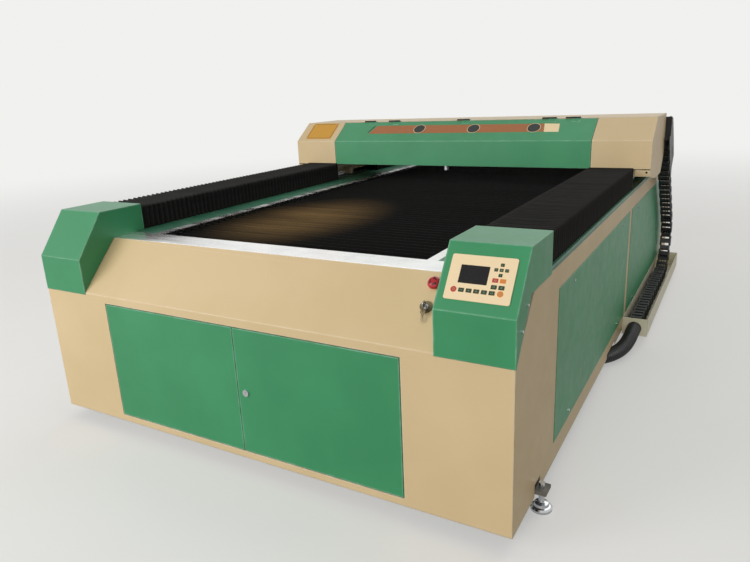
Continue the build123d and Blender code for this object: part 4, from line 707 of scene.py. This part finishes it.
# The signs are simple and say nothing: windows, bars, triangles, rings, and a bar with two ticks
signs = [moved(TRIANGLE, x, y, turn) for x, y, turn in ARROW_KEYS]
sign_frames = [washer(*SMALL_RING, ORIGIN_KEY, 20)]
for index, (x, y) in enumerate(GREEN_KEYS):
    parts = SIGN_KINDS[index % len(SIGN_KINDS)]
    if parts:
        signs += [moved(part, x + along, y + up) for part, along, up in parts]
    else:
        sign_frames.append([moved(outline, x, y) for outline in WINDOW])
signs += [moved(PAUSE_BAR, STOP_KEY[0] + along, STOP_KEY[1]) for along in (-2.2, 2.2)]
signs.append(moved(TRIANGLE, *START_KEY))
sign_frames += [washer(*LARGE_RING, key) for key in (RESET_KEY, ENTER_KEY)]
applied(
    "keypad_signs", BOX_SLOPE, KEY_TOP + INK, KEY_TOP + 2 * INK, signs, sign_frames, light_ink,
    "bed",
)

# Hood: a broad two-colour band with plain dark discs, cut from coloured film
FILM = 0.25
DISC_RADIUS = 38.0
DISC_RIM = 2.5
DISC_PLACES = ((-238, 111), (112, 108), (468, 108))
band_film = printed_film("orange_brown_vinyl", "#A6642F", "#9C5C29", 0.34)
pale_film = printed_film("cream_vinyl", "#F7DFB2", "#F0D7A8", 0.34)
disc_film = printed_film("dark_green_vinyl", "#0F1812", "#0C140F", 0.5)
orange_band = ((-580, 70), (-545, 145), (518, 142), (529, 74))
cream_segment = ((520, 143), (604, 140), (612, 72), (531, 73))
end_bar = ((-592, 80), (-586, 80), (-556, 140), (-566, 140))
dark_discs = [moved(disc(DISC_RADIUS - DISC_RIM), *place) for place in DISC_PLACES] + [end_bar]
disc_rims = [washer(DISC_RADIUS, DISC_RADIUS - DISC_RIM, place) for place in DISC_PLACES]
for name, low, plates, frames, film, slot in (
    ("hood_band", 0.0, [orange_band], [], band_film, "green_paint"),
    ("hood_band_pale_part", 0.0, [cream_segment], [], pale_film, "cream_paint"),
    ("hood_band_discs", FILM, dark_discs, [], disc_film, "green_paint"),
    ("hood_band_rims", FILM, [], disc_rims, pale_film, "cream_paint"),
):
    applied(name, HOOD_SLOPE, low, low + FILM, plates, frames, film, "hood")

# The hood's halves of the hinge barrels are black like the fixed halves
HINGE_PLACES = (-614.0, -439.0, 25.0, 537.0, 667.0)
HINGE_HALF = 40.0
HINGE_PLAY = 0.2
HINGE_AXIS = (2100.0, 1164.0)
BARREL_RADIUS = 4.2


def make_hinge_barrels():
    """Half barrels along the hinge's axis, a hair larger than the folded ones that they cover."""
    build = bmesh.new()
    for place in HINGE_PLACES:
        add_plate(build, disc(BARREL_RADIUS, 20), place + HINGE_PLAY, place + HINGE_HALF - HINGE_PLAY)
    along_x = Matrix(((0, 0, 1), (1, 0, 0), (0, 1, 0))).to_4x4()
    build.transform(Matrix.Translation(at(0, *HINGE_AXIS)) @ along_x)
    new_piece(build, "hood_hinge_barrels", finishes["black_steel"], "hood")


make_hinge_barrels()

# Left cap: a plain amber plate held by four rivets
amber = printed_film("amber_enamel", "#D49A18", "#C88E12", 0.3)
brown_line = printed_film("brown_enamel", "#8A5E12", "#7E5510", 0.3)
PLATE_MIDDLE = (-945.0, 100.0)
PLATE_THICK = 1.0
LINE_TOP = 1.2
RIVET_TOP = 2.2
RIVET_RADIUS = 3.2
# The plate and the line's outer and inner edge, each with width, height and corner radius
plate, *border = (
    moved(round_rectangle(*size), *PLATE_MIDDLE) for size in ((196, 150, 5), (186, 140, 4), (178, 132, 3))
)
rivets = [
    moved(disc(RIVET_RADIUS, 16), PLATE_MIDDLE[0] + x, PLATE_MIDDLE[1] + y)
    for x in (-88, 88) for y in (-65, 65)
]
for name, low, high, plates, frames, surface, slot in (
    ("amber_plate", 0.0, PLATE_THICK, [plate], [], amber, "yellow_plastic"),
    ("amber_plate_line", PLATE_THICK, LINE_TOP, [], [border], brown_line, "yellow_plastic"),
    ("amber_plate_rivets", PLATE_THICK, RIVET_TOP, rivets, [], finishes["plated_steel"], "plated_steel"),
):
    applied(name, HOOD_SLOPE, low, high, plates, frames, surface, "gantry")

# Stop button: three curved arrows printed on its dome, which turns to let go
BOX_INNER = 779.5
STOP_PLACE = (BOX_INNER - 58.5, 219.0)
DOME_BASE = 11.0
DOME_PROFILE = ((0.0, 14.0), (8.4, 13.3), (14.7, 11.2), (18.9, 8.0))
PRINT_LIFT = 0.2
ARROW_STARTS = (20.0, 140.0, 260.0)
ARROW_LINE = (8.8, 12.4)
LINE_SWEEP = 55.0
ARROW_HEAD = (5.8, 15.4)
HEAD_SWEEP = 37.0


def dome_height(radius):
    """The dome's height at a radius, straight between the points of its profile."""
    for (near, high), (far, low) in zip(DOME_PROFILE, DOME_PROFILE[1:]):
        if radius <= far:
            return high + (low - high) * (radius - near) / (far - near)
    return DOME_PROFILE[-1][1]


def dome_strip(build, angles, inner, outer, steps):
    """A strip on the dome between two angles; its inner and outer radius may change along it."""
    rows = []
    for step in range(steps + 1):
        share = step / steps
        angle = math.radians(angles[0] + (angles[1] - angles[0]) * share)
        near = inner[0] + (inner[1] - inner[0]) * share
        far = outer[0] + (outer[1] - outer[0]) * share
        row = []
        for number in range(4):
            radius = near + (far - near) * number / 3
            height = DOME_BASE + dome_height(radius) + PRINT_LIFT
            row.append(build.verts.new((
                radius * math.cos(angle) / 1000, radius * math.sin(angle) / 1000, height / 1000,
            )))
        rows.append(row)
    for before, after in zip(rows, rows[1:]):
        bridge(build, before, after, False)


def make_stop_arrows():
    """Three arcs with arrow heads, laid on the dome."""
    build = bmesh.new()
    tip = sum(ARROW_HEAD) / 2
    for start in ARROW_STARTS:
        neck = start + LINE_SWEEP
        inner, outer = (ARROW_HEAD[0], tip - 0.2), (ARROW_HEAD[1], tip + 0.2)
        dome_strip(build, (start, neck), ARROW_LINE[:1] * 2, ARROW_LINE[1:] * 2, 10)
        dome_strip(build, (neck, neck + HEAD_SWEEP), inner, outer, 6)
    bmesh.ops.solidify(build, geom=build.faces[:], thickness=0.00015)
    build.transform(slope_frame(FRONT_SLOPE, *STOP_PLACE, 0.0))
    ink = printed_film("brown_black_ink", "#3A1614", "#331210")
    new_piece(build, "stop_arrows", ink, "stop_button")


make_stop_arrows()

# Spare key on a split ring, through the hole in the bow of the key in the switch
SWITCH_PLACE = (BOX_INNER - 64.5, 140.0)
BOW_HOLE = 30.0
RING_RADIUS = 11.0
RING_WIRE = 0.9
RING_STEPS = 36
WIRE_SIDES = 8
RING_LEAN = math.radians(-148.0)
KEY_LEAN = math.radians(-166.0)
SPARE_HALF = 1.0
SPARE_BOW = 8.5
SPARE_HOLE = 2.4
SPARE_BLADE = ((-3, -12), (-3, -34), (0, -37), (3, -34), (3, -28), (1.8, -26), (3, -24), (3, -12))


def hanging_matrix(up, out, lean):
    """A place over the key switch, in millimetres up the slope and out of it; what hangs there
    points along -Y, which leans by an angle from the way up the slope."""
    right = Vector((1, 0, 0))
    back = Vector((0, -math.cos(lean), -math.sin(lean)))
    turn = Matrix((right, back, right.cross(back))).transposed().to_4x4()
    switch = slope_frame(FRONT_SLOPE, *SWITCH_PLACE, 0.0)
    return switch @ Matrix.Translation((0, up / 1000, out / 1000)) @ turn


def make_key_ring():
    """The ring hangs from the bow's hole, and the spare key from the ring."""
    build = bmesh.new()
    loops = []
    for step in range(RING_STEPS):
        angle = math.tau * step / RING_STEPS
        spoke = Vector((math.sin(angle), math.cos(angle), 0))
        loop = []
        for side in range(WIRE_SIDES):
            turn = math.tau * side / WIRE_SIDES
            wire = (spoke * math.cos(turn) + Vector((0, 0, 1)) * math.sin(turn)) * RING_WIRE
            loop.append(build.verts.new((spoke * RING_RADIUS + wire) / 1000))
        loops.append(loop)
    for first, second in zip(loops, loops[1:] + loops[:1]):
        bridge(build, first, second, True)
    up, out = math.cos(RING_LEAN) * RING_RADIUS, math.sin(RING_LEAN) * RING_RADIUS
    build.transform(hanging_matrix(up, BOW_HOLE + out, RING_LEAN))
    ring = finish_mesh(build, "ring")
    build = bmesh.new()
    add_plate(build, SPARE_BLADE, -SPARE_HALF, SPARE_HALF)
    bow = moved(disc(SPARE_BOW, 24), 0, -5)
    add_frame(build, bow, disc(SPARE_HOLE, 24), -SPARE_HALF, SPARE_HALF)
    build.transform(hanging_matrix(2 * up, BOW_HOLE + 2 * out, KEY_LEAN))
    build.from_mesh(ring)
    bpy.data.meshes.remove(ring)
    nickel = drawn_metal("worn_nickel_plate", "#8D8168", "#5E543F", 0.24, (8, 8, 8))
    new_piece(build, "key_ring_and_spare_key", nickel, "key")


make_key_ring()

# Bellows: creased cloth over stiff ribs, an arch across each rail
PLEAT = 28.0
PLEAT_DEPTH = 12.0
CLOTH = 1.5
RAIL_MIDDLE = 902.5
ARCH_HALF = 113.5
ARCH_LOW = 805.3
ARCH_TOP = 913.0
ARCH_CORNER = 7.0
FLANK_HEIGHTS = (30.0, 62.0)
# Each pleat as shares of its pitch and of its depth: a sharp crease at the rib, soft flanks
PLEAT_SHAPE = (
    (0.0, 1.0), (0.08, 0.93), (0.26, 0.6), (0.42, 0.13),
    (0.5, 0.0), (0.58, 0.13), (0.74, 0.6), (0.92, 0.93),
)
HEM = 3.0


def arch(inset, wall, sag):
    """Points (x, z) of one arch of the cover, from one foot to the other; it sags on top, and
    its flanks draw in a little above the feet."""
    half = ARCH_HALF - inset - wall
    top = ARCH_TOP - inset - wall
    corner = ARCH_CORNER + 1.3 * inset
    low, high = (ARCH_LOW + height for height in FLANK_HEIGHTS)
    points = [(-half, ARCH_LOW), (-half, low), (-half + 0.8 * sag, high)]
    for step in range(6):
        angle = math.radians(180 - 18 * step)
        points.append((-half + corner + corner * math.cos(angle), top - corner + corner * math.sin(angle)))
    flat = half - corner
    for share in (-0.6, -0.2):
        points.append((share * flat, top - sag * (1 - share * share)))
    return points + [(-x, z) for x, z in reversed(points)]


def pleated_cover(name, node, start, end):
    """Both covers of one node, with their folds."""
    random = np.random.default_rng(int(start))
    build = bmesh.new()
    folded = end - start - 2 * HEM
    count = round(folded / PLEAT)
    pitch = folded / count
    for side in (-1, 1):
        stations = [(start, 0.0, 0.0), (start + HEM, 0.0, 0.0)]
        for index in range(count):
            # Each valley leans by up to 7 hundredths of the pitch, and each top sags on its own
            push = random.uniform(-0.07, 0.07)
            sag = random.uniform(1.0, 3.4)
            for share, depth in PLEAT_SHAPE:
                lean = push * (1 - abs(2 * share - 1))
                y = start + HEM + (index + share + lean) * pitch
                stations.append((y, depth * PLEAT_DEPTH, sag * (1 - 0.5 * depth)))
        stations += [(end - HEM, 0.0, 0.0), (end, 0.0, 0.0)]
        skins = []
        for wall in (0.0, CLOTH):
            skins.append([
                [build.verts.new(at(side * (RAIL_MIDDLE + x), y, z)) for x, z in arch(inset, wall, sag)]
                for y, inset, sag in stations
            ])
        outer, inner = skins
        for skin in skins:
            for first, second in zip(skin, skin[1:]):
                bridge(build, first, second, False)
        for foot in (0, -1):
            bridge(build, [ring[foot] for ring in outer], [ring[foot] for ring in inner], False)
        for ring in (0, -1):
            bridge(build, outer[ring], inner[ring], False)
    cover = new_piece(build, name, finishes["black_fabric"])
    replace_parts(cover, node)
    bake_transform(cover)


pleated_cover("bellows_cloth_front", "bellows_front", start=170.0, end=1951.0)
pleated_cover("bellows_cloth_rear", "bellows_rear", start=2471.0, end=3630.0)

# Drag chain: moulded links with broad cross bars, on the joints of the solids they replace
LINK_PITCH = 50.0
LINK_HALF = 32.0
LINK_NOSE = 9.0
LINK_PLATE = 5.0
LINK_CORNER = 15.0
LINK_BEVEL = 0.9
BAR_BEVEL = 0.4
DIVIDER_BEVEL = 0.2
BOSS_BEVEL = 0.5
LINK_BAR = 27.0
BAR_THICK = 5.0
DIVIDER_WIDTH = 12.0
DIVIDER_THICK = 2.4
BOSS_RADIUS = 9.0
BOSS_HEIGHT = 1.2
LINK_WIDTH = 67.0
CHAIN_X = 1078.5
CHAIN_START = (1904.0, 74.0)
RUN_LINKS = 23
BEND_LINKS = 10
RISE_LINKS = 18
LINK_TURN = 13.7


def chain_joints():
    """Each link's front joint (y, z) and its angle in degrees, from the tray's front to the gantry."""
    y, z = CHAIN_START
    angle = 0.0
    joints = []
    for index in range(RUN_LINKS + BEND_LINKS + RISE_LINKS):
        if RUN_LINKS <= index < RUN_LINKS + BEND_LINKS:
            angle += LINK_TURN
        joints.append((y, z, angle))
        y += LINK_PITCH * math.cos(math.radians(angle))
        z += LINK_PITCH * math.sin(math.radians(angle))
    return joints


def add_block(build, outline, low, high, bevel, matrix):
    """A plate of an outline, its rims broken by a bevel, put in place by a matrix."""
    rings = []
    middle = sum((Vector(corner) for corner in outline), Vector((0, 0))) / len(outline)
    for height, inset in ((low, bevel), (low + bevel, 0.0), (high - bevel, 0.0), (high, bevel)):
        ring = []
        for corner in outline:
            spoke = Vector(corner) - middle
            x, y = middle + spoke * (1 - inset / spoke.length)
            ring.append(build.verts.new(matrix @ (Vector((x, y, height)) / 1000)))
        rings.append(ring)
    for first, second in zip(rings, rings[1:]):
        bridge(build, first, second, True)
    build.faces.new(rings[0][::-1])
    build.faces.new(rings[-1])


def chain_links(joints, first):
    """A row of links, every second one narrow so that it fits between its neighbours."""
    build = bmesh.new()
    side = round_rectangle(LINK_PITCH + 2 * LINK_NOSE, 2 * LINK_HALF, LINK_CORNER)
    side = moved(side, LINK_PITCH / 2, 0.0)
    bar = round_rectangle(LINK_BAR, BAR_THICK, 1.6, 2)
    divider = round_rectangle(DIVIDER_WIDTH, 2 * (LINK_HALF - BAR_THICK), 1.5, 1)
    for index, (y, z, angle) in enumerate(joints):
        wide = (first + index) % 2 == 0
        outer = LINK_WIDTH / 2 - (0.0 if wide else LINK_PLATE)
        along = Vector((0, math.cos(math.radians(angle)), math.sin(math.radians(angle))))
        across = Vector((1, 0, 0))
        up = across.cross(along)
        turn = Matrix((along, up, across)).transposed().to_4x4()
        matrix = Matrix.Translation(at(CHAIN_X, y, z)) @ turn
        add_block(build, side, outer - LINK_PLATE, outer, LINK_BEVEL, matrix)
        add_block(build, side, -outer, LINK_PLATE - outer, LINK_BEVEL, matrix)
        inside = outer - LINK_PLATE
        for level in (LINK_HALF - BAR_THICK / 2, BAR_THICK / 2 - LINK_HALF):
            add_block(build, moved(bar, LINK_PITCH / 2, level), -inside, inside, BAR_BEVEL, matrix)
        for x in (-inside / 3, inside / 3):
            low, high = x - DIVIDER_THICK / 2, x + DIVIDER_THICK / 2
            add_block(build, moved(divider, LINK_PITCH / 2, 0.0), low, high, DIVIDER_BEVEL, matrix)
        if wide:
            for joint in (0.0, LINK_PITCH):
                boss = moved(disc(BOSS_RADIUS, 20), joint, 0.0)
                add_block(build, boss, outer, outer + BOSS_HEIGHT, BOSS_BEVEL, matrix)
                add_block(build, boss, -outer - BOSS_HEIGHT, -outer, BOSS_BEVEL, matrix)
    return build


nylon = finishes["black_plastic"]
joints = chain_joints()
run = chain_links(joints[:RUN_LINKS], 0)
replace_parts(new_piece(run, "chain_links_in_tray", nylon, "bed"), "drag_chain_run")
loop = chain_links(joints[RUN_LINKS:], RUN_LINKS)
loop_chain = new_piece(loop, "chain_links_in_loop", nylon)
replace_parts(loop_chain, "drag_chain_loop")
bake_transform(loop_chain)

# Studio: a pale floor that runs into a pale world, and soft lamps
FLOOR_HALF = 40.0
BACKDROP = "#F1F1EF"
AMBIENT = 0.34
FLOOR_LIFT = 0.4
FADE_NEAR = 3.0
FADE_FAR = 12.0


def backdrop_strength(tree):
    """Strength 1 for what the camera, gloss and glass see, and the softer light for all else."""
    path = add_node(tree, "ShaderNodeLightPath", {})
    direct = add_node(tree, "ShaderNodeMath", {
        0: path.outputs["Is Camera Ray"], 1: path.outputs["Is Glossy Ray"],
    }, operation="MAXIMUM")
    seen = add_node(tree, "ShaderNodeMath", {
        0: direct.outputs["Value"], 1: path.outputs["Is Transmission Ray"],
    }, operation="MAXIMUM")
    strength = add_node(tree, "ShaderNodeMapRange", {
        "Value": seen.outputs["Value"], "To Min": AMBIENT, "To Max": 1.0,
    })
    return strength.outputs["Result"]


def make_floor():
    """Pale sealed concrete, plain and level, that keeps the machine's shadow. It is paler to the
    eye than in the light that it throws back, and far off it takes the backdrop's colour."""
    build = bmesh.new()
    corners = ((-1, -1), (1, -1), (1, 1), (-1, 1))
    build.faces.new([build.verts.new((x * FLOOR_HALF, y * FLOOR_HALF, -0.0005)) for x, y in corners])
    mesh = finish_mesh(build, "floor")
    material, tree, place = new_material("sealed_concrete", "#D8D6D2", {"Roughness": 0.75})
    path = add_node(tree, "ShaderNodeLightPath", {})
    cloud = add_node(tree, "ShaderNodeTexNoise", {
        "Vector": place, "Scale": waves_per_metre(900), "Detail": 4.0,
    })
    pale = add_node(tree, "ShaderNodeMix", {
        0: cloud.outputs["Fac"], 6: to_linear("#F4F2EF"), 7: to_linear("#EDEBE8"),
    }, data_type="RGBA")
    tone = add_node(tree, "ShaderNodeMix", {
        0: path.outputs["Is Camera Ray"], 6: to_linear("#B5B2AE"), 7: pale.outputs[2],
    }, data_type="RGBA")
    patterned(material, tone)
    distance = add_node(tree, "ShaderNodeVectorMath", {0: place}, operation="LENGTH")
    far = add_node(tree, "ShaderNodeMapRange", {
        "Value": distance.outputs["Value"], "From Min": FADE_NEAR, "From Max": FADE_FAR,
        "To Min": FLOOR_LIFT,
    }, interpolation_type="SMOOTHSTEP")
    glow = add_node(tree, "ShaderNodeEmission", {
        "Color": to_linear(BACKDROP), "Strength": backdrop_strength(tree),
    })
    faded = add_node(tree, "ShaderNodeMixShader", {
        0: far.outputs["Result"], 1: tree.nodes["Principled BSDF"].outputs["BSDF"],
        2: glow.outputs["Emission"],
    })
    tree.links.new(faded.outputs["Shader"], tree.nodes["Material Output"].inputs["Surface"])
    mesh.materials.append(material)
    floor = bpy.data.objects.new("floor", mesh)
    bpy.context.scene.collection.objects.link(floor)


def make_world():
    """A pale backdrop for the eye, for gloss and for glass, and a softer light from it."""
    world = bpy.data.worlds.new("studio")
    bpy.context.scene.world = world
    world.use_nodes = True
    tree = world.node_tree
    tree.nodes.clear()
    sky = add_node(tree, "ShaderNodeBackground", {
        "Color": to_linear(BACKDROP), "Strength": backdrop_strength(tree),
    })
    add_node(tree, "ShaderNodeOutputWorld", {"Surface": sky.outputs["Background"]})


def aim(holder, place, ahead):
    """Put a lamp at a place and turn it to shine along a direction."""
    bpy.context.scene.collection.objects.link(holder)
    holder.location = place
    holder.rotation_euler = ahead.to_track_quat("-Z", "Y").to_euler()


def soft_sun(name, azimuth, elevation, strength, softness):
    """A distant lamp with soft shadows; azimuth 0 shines from the front, 90 from the right."""
    lamp = bpy.data.lights.new(name, "SUN")
    lamp.energy = strength
    lamp.angle = math.radians(softness)
    side, height = math.radians(azimuth), math.radians(elevation)
    level = math.cos(height)
    ahead = Vector((-math.sin(side) * level, math.cos(side) * level, -math.sin(height)))
    aim(bpy.data.objects.new(name, lamp), -ahead * 10, ahead)


def soft_window(name, place, target, watts, size):
    """A square lamp near the machine, whose light falls off along it."""
    lamp = bpy.data.lights.new(name, "AREA")
    lamp.energy = watts
    lamp.size = size
    aim(bpy.data.objects.new(name, lamp), Vector(place), Vector(target) - Vector(place))


make_floor()
make_world()
soft_window("left_window_light", (-3.5, -6.4, 2.5), target=(0.0, -1.9, 0.6), watts=190.0, size=3.2)
soft_sun("door_light", azimuth=4.0, elevation=22.0, strength=0.95, softness=40.0)
soft_sun("back_window_light", azimuth=172.0, elevation=48.0, strength=0.6, softness=50.0)
bpy.context.scene.view_settings.view_transform = "Standard"
